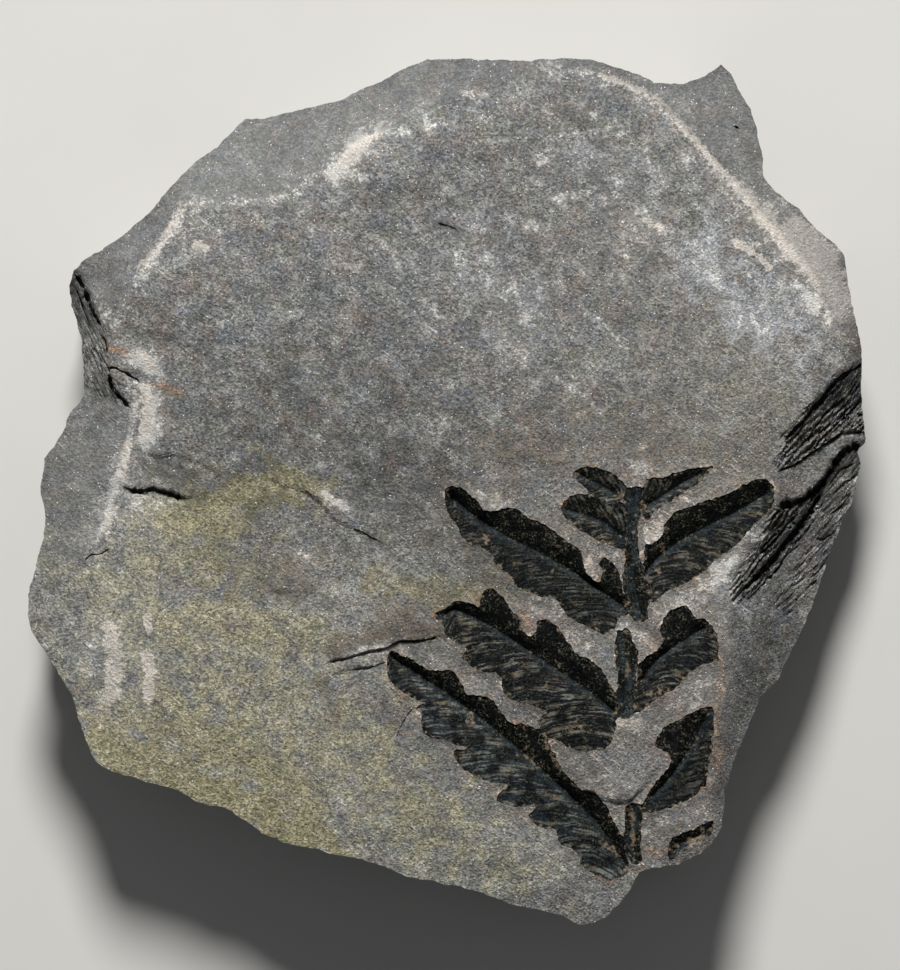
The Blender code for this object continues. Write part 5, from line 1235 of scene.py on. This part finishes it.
def shaleMaterial():
    material, tree, shader = newMaterial("weatheredShale")
    place = plateSpace(tree)
    fine = grainTexture(tree, place, 4.6, 1.0, 0.7)
    speckle = grainTexture(tree, place, 2.1, 2.0, 0.65)
    blotch = grainTexture(tree, place, 0.16, 3.0, 0.6)
    cloud = grainTexture(tree, place, 0.55, 3.0, 0.65)
    streak = grainTexture(tree, plateSpace(tree, (0.28, 2.6, 1.0), -37), 1.3, 3.0, 0.65)
    hair = grainTexture(tree, plateSpace(tree, (0.42, 5.2, 1.0), -41), 1.0, 1.0, 0.5)
    leaf = grainTexture(tree, plateSpace(tree, (0.16, 0.16, 3.2)), 1.0, 3.0, 0.6)
    seam = grainTexture(tree, plateSpace(tree, (0.42, 4.4, 1.0), 47), 1.0, 2.0, 0.6)
    slit = grainTexture(tree, plateSpace(tree, (0.42, 4.4, 1.0), -64), 1.0, 2.0, 0.6)
    grains = addNode(tree, "ShaderNodeTexVoronoi", {"Vector": place, "Scale": 5.6})
    grain = addNode(tree, "ShaderNodeSeparateXYZ", {0: grains.outputs["Color"]})
    lot = grain.outputs["X"]

    # grey stone in clouds and patches, with faint streaks along the split
    base = mixed(tree, asRange(tree, blotch, 0.36, 0.64), shale["dark"], shale["grey"])
    for name, shift, amount in (("brown", 20, 0.5), ("blue", 90, 0.45), ("green", 50, 0.4)):
        patch = grainTexture(tree, plateSpace(tree, shift=shift), 0.34, 3.0, 0.7)
        base = mixed(tree, asRange(tree, patch, 0.48, 0.70, 0, amount), base, shale[name])
    for value, low, high, most, name in ((cloud, 0.45, 0.75, 0.5, "pale"), (streak, 0.54, 0.72, 0.35, "pale"),
                                         (streak, 0.46, 0.30, 0.3, "dark")):
        base = mixed(tree, asRange(tree, value, low, high, 0, most), base, shale[name])
    worn = times(tree, attribute(tree, "worn"), asRange(tree, cloud, 0.25, 0.65, 0.5, 1.0))
    base = mixed(tree, times(tree, worn, 0.7), base, shale["worn"])

    # leaves of slightly different stone show on the broken sides
    up = addNode(tree, "ShaderNodeSeparateXYZ", {0: addNode(tree, "ShaderNodeNewGeometry").outputs["Normal"]})
    steep = asRange(tree, calc(tree, "ABSOLUTE", up.outputs["Z"]), 0.75, 0.35)
    for low, high, most, name in ((0.42, 0.62, 0.6, "dark"), (0.45, 0.30, 0.4, "pale")):
        amount = times(tree, steep, asRange(tree, leaf, low, high, 0, most))
        base = mixed(tree, amount, base, shale[name])

    # olive staining lies in the roughness of the weathered side
    loose = asRange(tree, speckle, 0.3, 0.7, -0.5, 0.5)
    loose = plus(tree, loose, asRange(tree, lot, 0, 1, -0.25, 0.25))
    olive = plus(tree, attribute(tree, "olive"), asRange(tree, cloud, 0.3, 0.7, -0.35, 0.35))
    base = mixed(tree, asRange(tree, olive, 0.2, 0.85, 0, 0.8), base, shale["olive"])
    moss = times(tree, asRange(tree, patch, 0.46, 0.62), attribute(tree, "olive"), clamp=True)
    base = mixed(tree, times(tree, moss, 0.25), base, shale["moss"])
    # brown, rust and dark crumbs; some brown strokes and the dark ones along cracks are painted shade
    for name, soft in (("umber", 0.8), ("rust", 0.75), ("grimeAndShade", 0.85)):
        amount = crumbled(tree, attribute(tree, name), loose, cloud)
        base = mixed(tree, asRange(tree, amount, 0.1, 1.0, 0, soft), base, shale[name])

    # pale crusts, thin all over and thick where the grain holds them
    chalk = plus(tree, attribute(tree, "chalk"), asRange(tree, cloud, 0.3, 0.7, -0.4, 0.4))
    base = mixed(tree, asRange(tree, chalk, 0.15, 0.9, 0, 0.5), base, shale["chalk"])
    cover = 0.0
    for name in ("cream", "bloom"):
        amount = attribute(tree, name)
        base = mixed(tree, times(tree, amount, 0.36, clamp=True), base, shale[name])
        crumbs = asRange(tree, crumbled(tree, amount, loose, cloud), 0.42, 0.95, 0, 0.66)
        base = mixed(tree, crumbs, base, shale[name])
        cover = calc(tree, "MAXIMUM", cover, amount)
    crest = plus(tree, attribute(tree, "crest"), asRange(tree, speckle, 0.3, 0.7, -0.22, 0.22))
    crest = times(tree, asRange(tree, crest, 0.42, 0.62), asRange(tree, fine, 0.3, 0.6, 0.7, 1.0))
    base = mixed(tree, times(tree, crest, 0.8), base, shale["cream"])
    cover = calc(tree, "MAXIMUM", cover, crest)
    scratch = times(tree, asRange(tree, hair, 0.62, 0.74), asRange(tree, cloud, 0.46, 0.62))
    base = mixed(tree, times(tree, scratch, 0.55), base, shale["bloom"])

    # painted shade: dark lines between the leaves where the stone has split, standing in for the shade in the
    # gaps
    lines = times(tree, attribute(tree, "split"), asRange(tree, seam, 0.50, 0.62))
    slits = times(tree, attribute(tree, "cleft"), asRange(tree, slit, 0.50, 0.62))
    lines = plus(tree, lines, slits, clamp=True)
    shade = asRange(tree, lines, 0, 1, 1.0, 0.3)
    # then the painted shade and darker tone of the marked places
    shade = times(tree, shade, asRange(tree, attribute(tree, "paintedShadeAndDarkTone"), 0, 1, 1.0, 1 - shale["paintedShadeAndDarkTone"]))

    # salt and pepper grains of warmer and cooler stone, pits, and a few mica flakes painted near white as
    # glints
    tint = mixed(tree, grain.outputs["Z"], shale["cool"], shale["warm"])
    light = asRange(tree, lot, 0, 1, 1 - shale["grain"], 1 + shale["grain"])
    for value, spread in ((fine, 0.2), (speckle, 0.26), (cloud, 0.14)):
        light = times(tree, light, asRange(tree, value, 0.3, 0.7, 1 - spread, 1 + spread))
    # crusts and the slopes past the crests have a finer, evener face, and the slopes are painted darker as
    # shade
    past = attribute(tree, "past")
    even = calc(tree, "MAXIMUM", asRange(tree, cover, 0, 1, 0, 0.7), times(tree, past, 0.4))
    light = addNode(tree, "ShaderNodeMix", {0: even, 2: light, 3: 1.0}).outputs[0]
    base = mixed(tree, times(tree, past, 0.4), base, shale["slope"])
    light = times(tree, light, asRange(tree, past, 0, 1, 1.0, shale["past"]))
    light = times(tree, light, shade)
    tint = addNode(tree, "ShaderNodeVectorMath", {0: tint, "Scale": light}, operation="SCALE").outputs[0]
    base = mixed(tree, 1.0, base, tint, "MULTIPLY")
    near = asRange(tree, grains.outputs["Distance"], 0.42, 0.22)
    rare = plus(tree, grain.outputs["Y"], asRange(tree, cloud, 0.5, 0.7, 0, 0.03))
    micaGlint = times(tree, near, asRange(tree, rare, 0.972, 0.985))
    base = mixed(tree, micaGlint, base, shale["micaGlint"])
    layers = times(tree, steep, leaf)
    height = summed(tree, ((fine, 0.6), (lot, 0.25), (speckle, 0.6), (streak, 0.3), (scratch, 0.3),
                           (lines, -0.9), (layers, 1.5)))
    finishShader(tree, shader, shale, base, fine, height)
    return material


def crumbled(tree, amount, loose, cloud):
    # a crust that breaks up into crumbs where it thins out, and is nowhere else
    crumbs = plus(tree, loose, asRange(tree, cloud, 0.3, 0.7, -0.4, 0.4))
    gate = times(tree, amount, 2.2, clamp=True)
    gate = times(tree, gate, asRange(tree, amount, 0.3, 1.2, 1.0, 0.35))
    return plus(tree, amount, times(tree, crumbs, gate))


carbon = {
    "film": colour(21, 22, 21),
    "deep": colour(9, 10, 10),
    "sheen": colour(70, 83, 90),
    "veilAndLight": colour(122, 124, 118),
    "earth": colour(108, 94, 72),
    "speck": colour(96, 96, 78),
    "crust": colour(134, 120, 100),
    "tint": colour(214, 222, 230),      # of the shine
    "roughness": (0.4, 0.72),
    "gloss": 0.14,
    "bump": (0.6, 0.00015),
}


def carbonMaterial():
    material, tree, shader = newMaterial("carbonFilm")
    place = plateSpace(tree)
    fine = grainTexture(tree, place, 4.6, 2.0, 0.7)
    speckle = grainTexture(tree, place, 2.2, 3.0, 0.65)
    cloud = grainTexture(tree, place, 0.7, 3.0, 0.6)
    # painted shade and highlight: the film is darker in the grooves between the veins and lighter on their
    # crests
    vein = attribute(tree, "vein")
    base = mixed(tree, asRange(tree, vein, 0.25, 0.8), carbon["deep"], carbon["film"])
    # painted sheen: a bluish reflection painted below the rib, and over the lower halves that face the lamp
    rib = times(tree, attribute(tree, "rib"), asRange(tree, speckle, 0.35, 0.65, 0.35, 1.0))
    base = mixed(tree, times(tree, rib, 0.75), base, carbon["sheen"])
    # grey and earthy colour between the veins of the lower halves, partly sediment and partly painted light
    # on the halves that face the lamp, and single grains of sediment
    veilAndLight = times(tree, attribute(tree, "veilAndLight"), asRange(tree, speckle, 0.25, 0.6, 0.3, 1.0))
    dirt = mixed(tree, asRange(tree, cloud, 0.4, 0.6), carbon["veilAndLight"], carbon["earth"])
    base = mixed(tree, asRange(tree, veilAndLight, 0.05, 0.9, 0, 0.9), base, dirt)
    dust = times(tree, attribute(tree, "dust"), asRange(tree, fine, 0.52, 0.68))
    base = mixed(tree, dust, base, carbon["speck"])
    crust = plus(tree, attribute(tree, "crust"), asRange(tree, speckle, 0.3, 0.7, -0.5, 0.42))
    crust = plus(tree, crust, asRange(tree, cloud, 0.3, 0.7, -0.25, 0.2))
    base = mixed(tree, asRange(tree, crust, 0.3, 0.7, 0, 0.85), base, carbon["crust"])
    light = asRange(tree, fine, 0.32, 0.68, 0.5, 1.45)
    base = addNode(tree, "ShaderNodeVectorMath", {0: base, "Scale": light}, operation="SCALE").outputs[0]
    shader.inputs["Specular Tint"].default_value = carbon["tint"]
    finishShader(tree, shader, carbon, base, fine, summed(tree, ((fine, 0.7), (speckle, 1.0))))
    return material


# The stone beside the fern: how strong, and how many millimetres it reaches.
nearFern = {"pale": (0.6, 0.6), "brown": (0.7, 1.6), "rust": (0.5, 0.3)}


def makeSlab():
    corners, faces, topCount, beside = slabMesh()
    top, values = corners[:topCount], {}
    wander = noiseAt(top, 1.7, 9.9, 3)
    for name, strokes in stains.items():
        values[name] = np.zeros(len(corners))
        # the lines along the crests stay straighter than the rest
        values[name][:topCount] = stained(top, strokes, wander * (0.25 if name == "crest" else 1))
    for broken in breaks:
        name = broken["mark"]
        values.setdefault(name, np.zeros(len(corners)))
        near = closeTo(top, onPlate(broken["outline"]), 1.5)
        values[name][near] = np.maximum(values[name][near], leafShare(top[near], broken))
    values["past"] = np.zeros(len(corners))
    values["past"][:topCount] = pastCrests(top)
    # the stone beside the fern is browner, paler in places, with a broken line of rust along the margin
    most, reach = nearFern["pale"]
    pale = np.clip(0.06 + wander, 0, most) * np.exp(-beside / reach)
    most, reach = nearFern["brown"]
    brown = most * np.clip(0.6 + 1.3 * wander, 0, 1.2) * np.exp(-beside / reach)
    most, reach = nearFern["rust"]
    rusty = most * np.exp(-beside / reach) * eased(noiseAt(top, 1.9, 44.0, 2), 0.1, 0.4)
    for name, amount in (("umber", brown), ("cream", pale), ("rust", rusty)):
        values[name][:topCount] = np.maximum(values[name][:topCount], amount)
    piece = makePiece("stone", corners, faces, values, shaleMaterial())
    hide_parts("shale_slab")
    print("stone:", len(faces), "triangles")


# Patches of crust on the film: strength, width, line.
filmCrusts = [
    (0.5, 0.28, [(62.9, 64.2), (62.8, 66), (62.8, 67.6)]), (0.75, 0.22, [(63.3, 81.4), (63.3, 84.6)]),
    (0.6, 0.4, [(62, 63), (63.4, 63.4)]), (0.3, 0.25, [(63.3, 53), (63.4, 54)]),
    (0.4, 0.35, [(54.6, 53.2), (55, 53.6)]), (0.6, 0.4, [(52.6, 61.8), (53, 62.6)]),
    (0.4, 0.4, [(51, 60.4), (51.4, 61.2)]), (0.4, 0.3, [(55.2, 65.4), (55.8, 66.4)]),
    (0.5, 0.35, [(64.9, 58.8), (65.6, 59.2)]), (0.5, 0.4, [(65.4, 55), (66.2, 54.4)]),
    (0.4, 0.4, [(65.2, 57.3), (66, 57)]), (0.5, 0.4, [(65.3, 69.4), (66.4, 69)]),
    (0.45, 0.5, [(52.4, 75), (54, 76.8)]), (0.4, 0.4, [(46.2, 70.8), (47.2, 71.8)]),
    (0.75, 0.3, [(68.6, 84.4), (69.6, 84.1), (70.6, 83.6)]), (0.7, 0.3, [(67.2, 85.2), (67.8, 84.6)]),
    (0.6, 0.4, [(55, 74.6), (55.8, 76.4)]), (0.4, 0.5, [(60.6, 84.6), (61.8, 85.6)]),
    (0.4, 0.35, [(57.6, 72.8), (58.6, 73.4)]), (0.4, 0.3, [(48.4, 53.6), (49, 54)]),
    (0.35, 0.3, [(69.8, 77.4), (71, 76)]),
]


def filmPlan(name):
    # the film's points in the plan, its triangles, and the few points of its hidden back
    margin, step = margins[name], film["step"]
    points = staggered(margin.min(axis=0), margin.max(axis=0), step, 2)
    points = points[within(points, margin)]
    points = points[nearest(points, margin[::2], closed=True)[0] > 0.6 * step]
    plan, faces = triangles(np.vstack((margin, points)), loopPairs(0, len(margin), True))
    return plan, faces, points[::23]


def filmVeins(name, plan, share):
    # veins leave the rib towards the tip and bend out to the margin, doubling on the way
    rib = curved(onPlate(frond[name]["rib"]), 0.2)
    run = np.vstack((rib[:1] - 20 * (rib[1:2] - rib[:1]), rib, rib[-1:] + 20 * (rib[-1:] - rib[-2:-1])))
    gap, place, side = nearest(plan, run)
    spots = np.arange(len(run))
    found = {"gap": gap, "under": np.interp(place, spots, run[:, 1]) - plan[:, 1]}
    if name.startswith("rachis"):
        phase = gap * side / 0.34 + 0.5 * noiseAt(plan, 1.2, 6.0)
        vein = 0.5 + 0.5 * np.cos(2 * math.pi * phase)
        return {**found, "phase": phase, "vein": vein, "fade": 1.0, "fibre": 0.0}
    along = np.concatenate(([0], np.cumsum(np.linalg.norm(np.diff(run, axis=0), axis=1))))
    along = np.interp(place, spots, along)
    start, end = film["veinLead"]
    phase = (along - gap * (start - (start - end) * share * 0.7)) / film["veinGap"] + 7 * (side > 0)
    phase = phase + 0.16 * noiseAt(plan, 1.2, 5.0, 2) + 0.6 * noiseAt(plan, 4.0, 8.5)
    fibre = noiseAt(np.column_stack((phase, share)), (0.26, 0.55, 0), 25.0, 3)
    single, double = (0.5 + 0.5 * np.cos(turns * math.pi * phase) for turns in (2, 4))
    fork = eased(share + 0.12 * noiseAt(plan, 1.1, 11.0), 0.30, 0.52)
    vein = single * (1 - fork) + double * fork
    vein = np.clip(0.3 + 0.35 * vein + 1.3 * fibre + 0.4 * noiseAt(plan, 0.4, 17.0), 0, 1)
    fade = eased(share, 0.05, 0.25) * np.clip(0.65 + 0.9 * noiseAt(plan, 1.8, 14.0, 2), 0.05, 1.4)
    return {**found, "phase": phase, "vein": vein, "fade": fade, "fibre": fibre}


def filmHeight(name, plan, dip, veins):
    height = smoothFace(plan) - dip
    height = height + film["veinHeight"] * (veins["vein"] ** 1.4 - 0.45) * veins["fade"]
    tall, length = film["fuzz"]
    height += tall * noiseAt(plan, length, 16.0, 2)
    tall, length = film["waves"]
    height += tall * noiseAt(plan, length, 19.0)
    if not name.startswith("rachis"):
        height += film["ribEdge"] * np.exp(-((veins["gap"] - 0.4) / 0.25) ** 2) * (veins["under"] > 0)
    return height


def filmMarks(name, plan, share, veins):
    # a bluish sheen is painted below the rib and over the lower halves that face the lamp, and grey hairs,
    # partly sediment and partly painted light, lie between the veins
    gap, phase, fibre, vein, fade = (veins[key] for key in ("gap", "phase", "fibre", "vein", "fade"))
    below = np.clip(veins["under"] / 0.8, -1, 1)
    low = eased(below, -0.1, 0.6)
    if name.startswith("leaflet"):
        low = np.maximum(low, 0.8)
    hairs = noiseAt(np.column_stack((phase, share)), (0.42, 0.5, 0), 35.0, 2)
    strand = eased(hairs + 0.7 * fibre + 0.06 * np.cos(4 * math.pi * phase), 0.03, 0.24)
    patchy = np.clip(0.6 + 1.4 * noiseAt(plan, 1.5, 23.0, 2), 0.05, 1.2)
    shine = np.where(below > 0, np.exp(-((gap - 0.3) / 0.4) ** 2), 0.5 * np.exp(-(gap / 0.12) ** 2))
    shine *= np.clip(0.6 + 0.9 * noiseAt(plan, 0.9, 27.0, 2), 0.1, 1)
    paintedSheen = 1.25 * film["paintedSheen"].get(name, film["others"][0]) * low
    shine = np.maximum(shine, paintedSheen * patchy * (0.45 + 0.55 * strand))
    veilAndLight = film["veilAndLight"].get(name, film["others"][1]) * low * eased(share, 0.05, 0.3)
    toEdge = gap * (1 - share) / np.maximum(share, 0.02)
    nearRim = 0.75 * np.exp(-toEdge / 0.25) * eased(noiseAt(plan, 0.5, 31.0, 2), -0.1, 0.3)
    return {
        "vein": vein * (0.5 + 0.5 * fade),
        "veilAndLight": veilAndLight * patchy * strand,
        "rib": (0.9 if name.startswith("rachis") else 0.55) * shine,
        "dust": (1 - 0.6 * low) * np.clip(0.42 + 1.8 * noiseAt(plan, 1.0, 41.0, 2), 0.04, 1),
        "crust": np.maximum(stained(plan, filmCrusts, noiseAt(plan, 0.9, 9.9, 3)), nearRim),
    }


def filmPiece(name, material):
    piece, margin = frond[name], margins[name]
    plan, faces, back = filmPlan(name)
    share, dip = filmDip(plan, piece, margin)
    veins = filmVeins(name, plan, share)
    values = filmMarks(name, plan, share, veins)
    top = np.column_stack((plan, filmHeight(name, plan, dip, veins)))
    # the margin turns down as a skirt
    rim = rimOf(faces)
    skirt = top[rim].copy()
    skirt[:, 2] -= film["skirt"]
    below = len(top) + np.arange(len(rim))
    a, b, c, d = rim, np.roll(rim, -1), below, np.roll(below, -1)
    walls = np.vstack((np.column_stack((a, c, d)), np.column_stack((a, d, b))))
    # the hidden back is a coarse sheet at the foot of the skirt
    backPlan, backFaces = triangles(np.vstack((skirt[:, :2], back)), loopPairs(0, len(skirt), True))
    number = nearestCorner(backPlan, skirt[:, :2])
    isRim = number >= 0
    backHeight = smoothFace(backPlan) - filmDip(backPlan, piece, margin)[1] - film["skirt"] - 0.1
    number[isRim] = below[number[isRim]]
    number[~isRim] = len(top) + len(rim) + np.arange((~isRim).sum())
    corners = np.vstack((top, skirt, np.column_stack((backPlan, backHeight))[~isRim]))
    faces = np.vstack((faces, walls, number[backFaces[:, ::-1]]))
    for key in values:
        values[key] = np.concatenate((values[key], values[key][rim], np.zeros((~isRim).sum())))
    made = makePiece(name.replace("_", "-") + "-film", corners, faces, values, material)
    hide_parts(name)
    return len(faces)


makeSlab()
filmMaterial = carbonMaterial()
count = sum(filmPiece(name, filmMaterial) for name in frond)
print("fern:", len(frond), "films,", count, "triangles")

table = {"size": 1.6, "under": -0.0001, "colour": colour(214, 212, 208), "patch": colour(220, 218, 214)}
floorMesh = bpy.data.meshes.new("table")
half = table["size"] / 2
corners = [(x * half, y * half, table["under"]) for x, y in ((-1, -1), (1, -1), (1, 1), (-1, 1))]
floorMesh.from_pydata(corners, [], [(0, 1, 2, 3)])
floor = bpy.data.objects.new("table", floorMesh)
bpy.context.scene.collection.objects.link(floor)
floorMaterial, floorTree, floorShader = newMaterial("paleTable")
floorShader.inputs["Roughness"].default_value = 0.9
paper = grainTexture(floorTree, plateSpace(floorTree), 0.02, 3.0)
floorTint = mixed(floorTree, asRange(floorTree, paper, 0.3, 0.7), table["colour"], table["patch"])
floorTree.links.new(floorTint, floorShader.inputs["Base Color"])
floorMesh.materials.append(floorMaterial)

studio = {"turn": -4, "height": 38, "away": 1.0, "across": 0.28, "power": 14.0, "fill": 0.10,
          "lampColour": (1.0, 0.995, 0.98), "skyColour": (0.93, 0.96, 1.0, 1.0)}


def placeLight():
    turn, height = math.radians(studio["turn"]), math.radians(studio["height"])
    toward = Vector((math.sin(turn) * math.cos(height), math.cos(turn) * math.cos(height), math.sin(height)))
    data = bpy.data.lights.new("softLamp", "AREA")
    data.shape = "DISK"
    data.size = studio["across"]
    data.energy = studio["power"]
    data.color = studio["lampColour"]
    lamp = bpy.data.objects.new("softLamp", data)
    lamp.location = toward * studio["away"]
    lamp.rotation_euler = toward.to_track_quat("Z", "Y").to_euler()
    bpy.context.scene.collection.objects.link(lamp)
    world = bpy.context.scene.world or bpy.data.worlds.new("studio")
    bpy.context.scene.world = world
    world.use_nodes = True
    sky = world.node_tree.nodes["Background"]
    sky.inputs["Color"].default_value = studio["skyColour"]
    sky.inputs["Strength"].default_value = studio["fill"]


placeLight()

view = {"middle": (0.00025, 0.0007), "height": 0.814, "level": 0.014, "tall": 0.097, "sensor": 36.0}
cameraData = bpy.data.cameras.new("overhead")
cameraData.sensor_width = view["sensor"]
cameraData.lens = view["sensor"] * (view["height"] - view["level"]) / view["tall"]
cameraData.clip_start, cameraData.clip_end = 0.01, 20
camera = bpy.data.objects.new("overhead", cameraData)
camera.location = (*view["middle"], view["height"])
bpy.context.scene.collection.objects.link(camera)
bpy.context.scene.camera = camera
bpy.context.scene.view_settings.view_transform = "Standard"
print("table, lamp and camera placed")
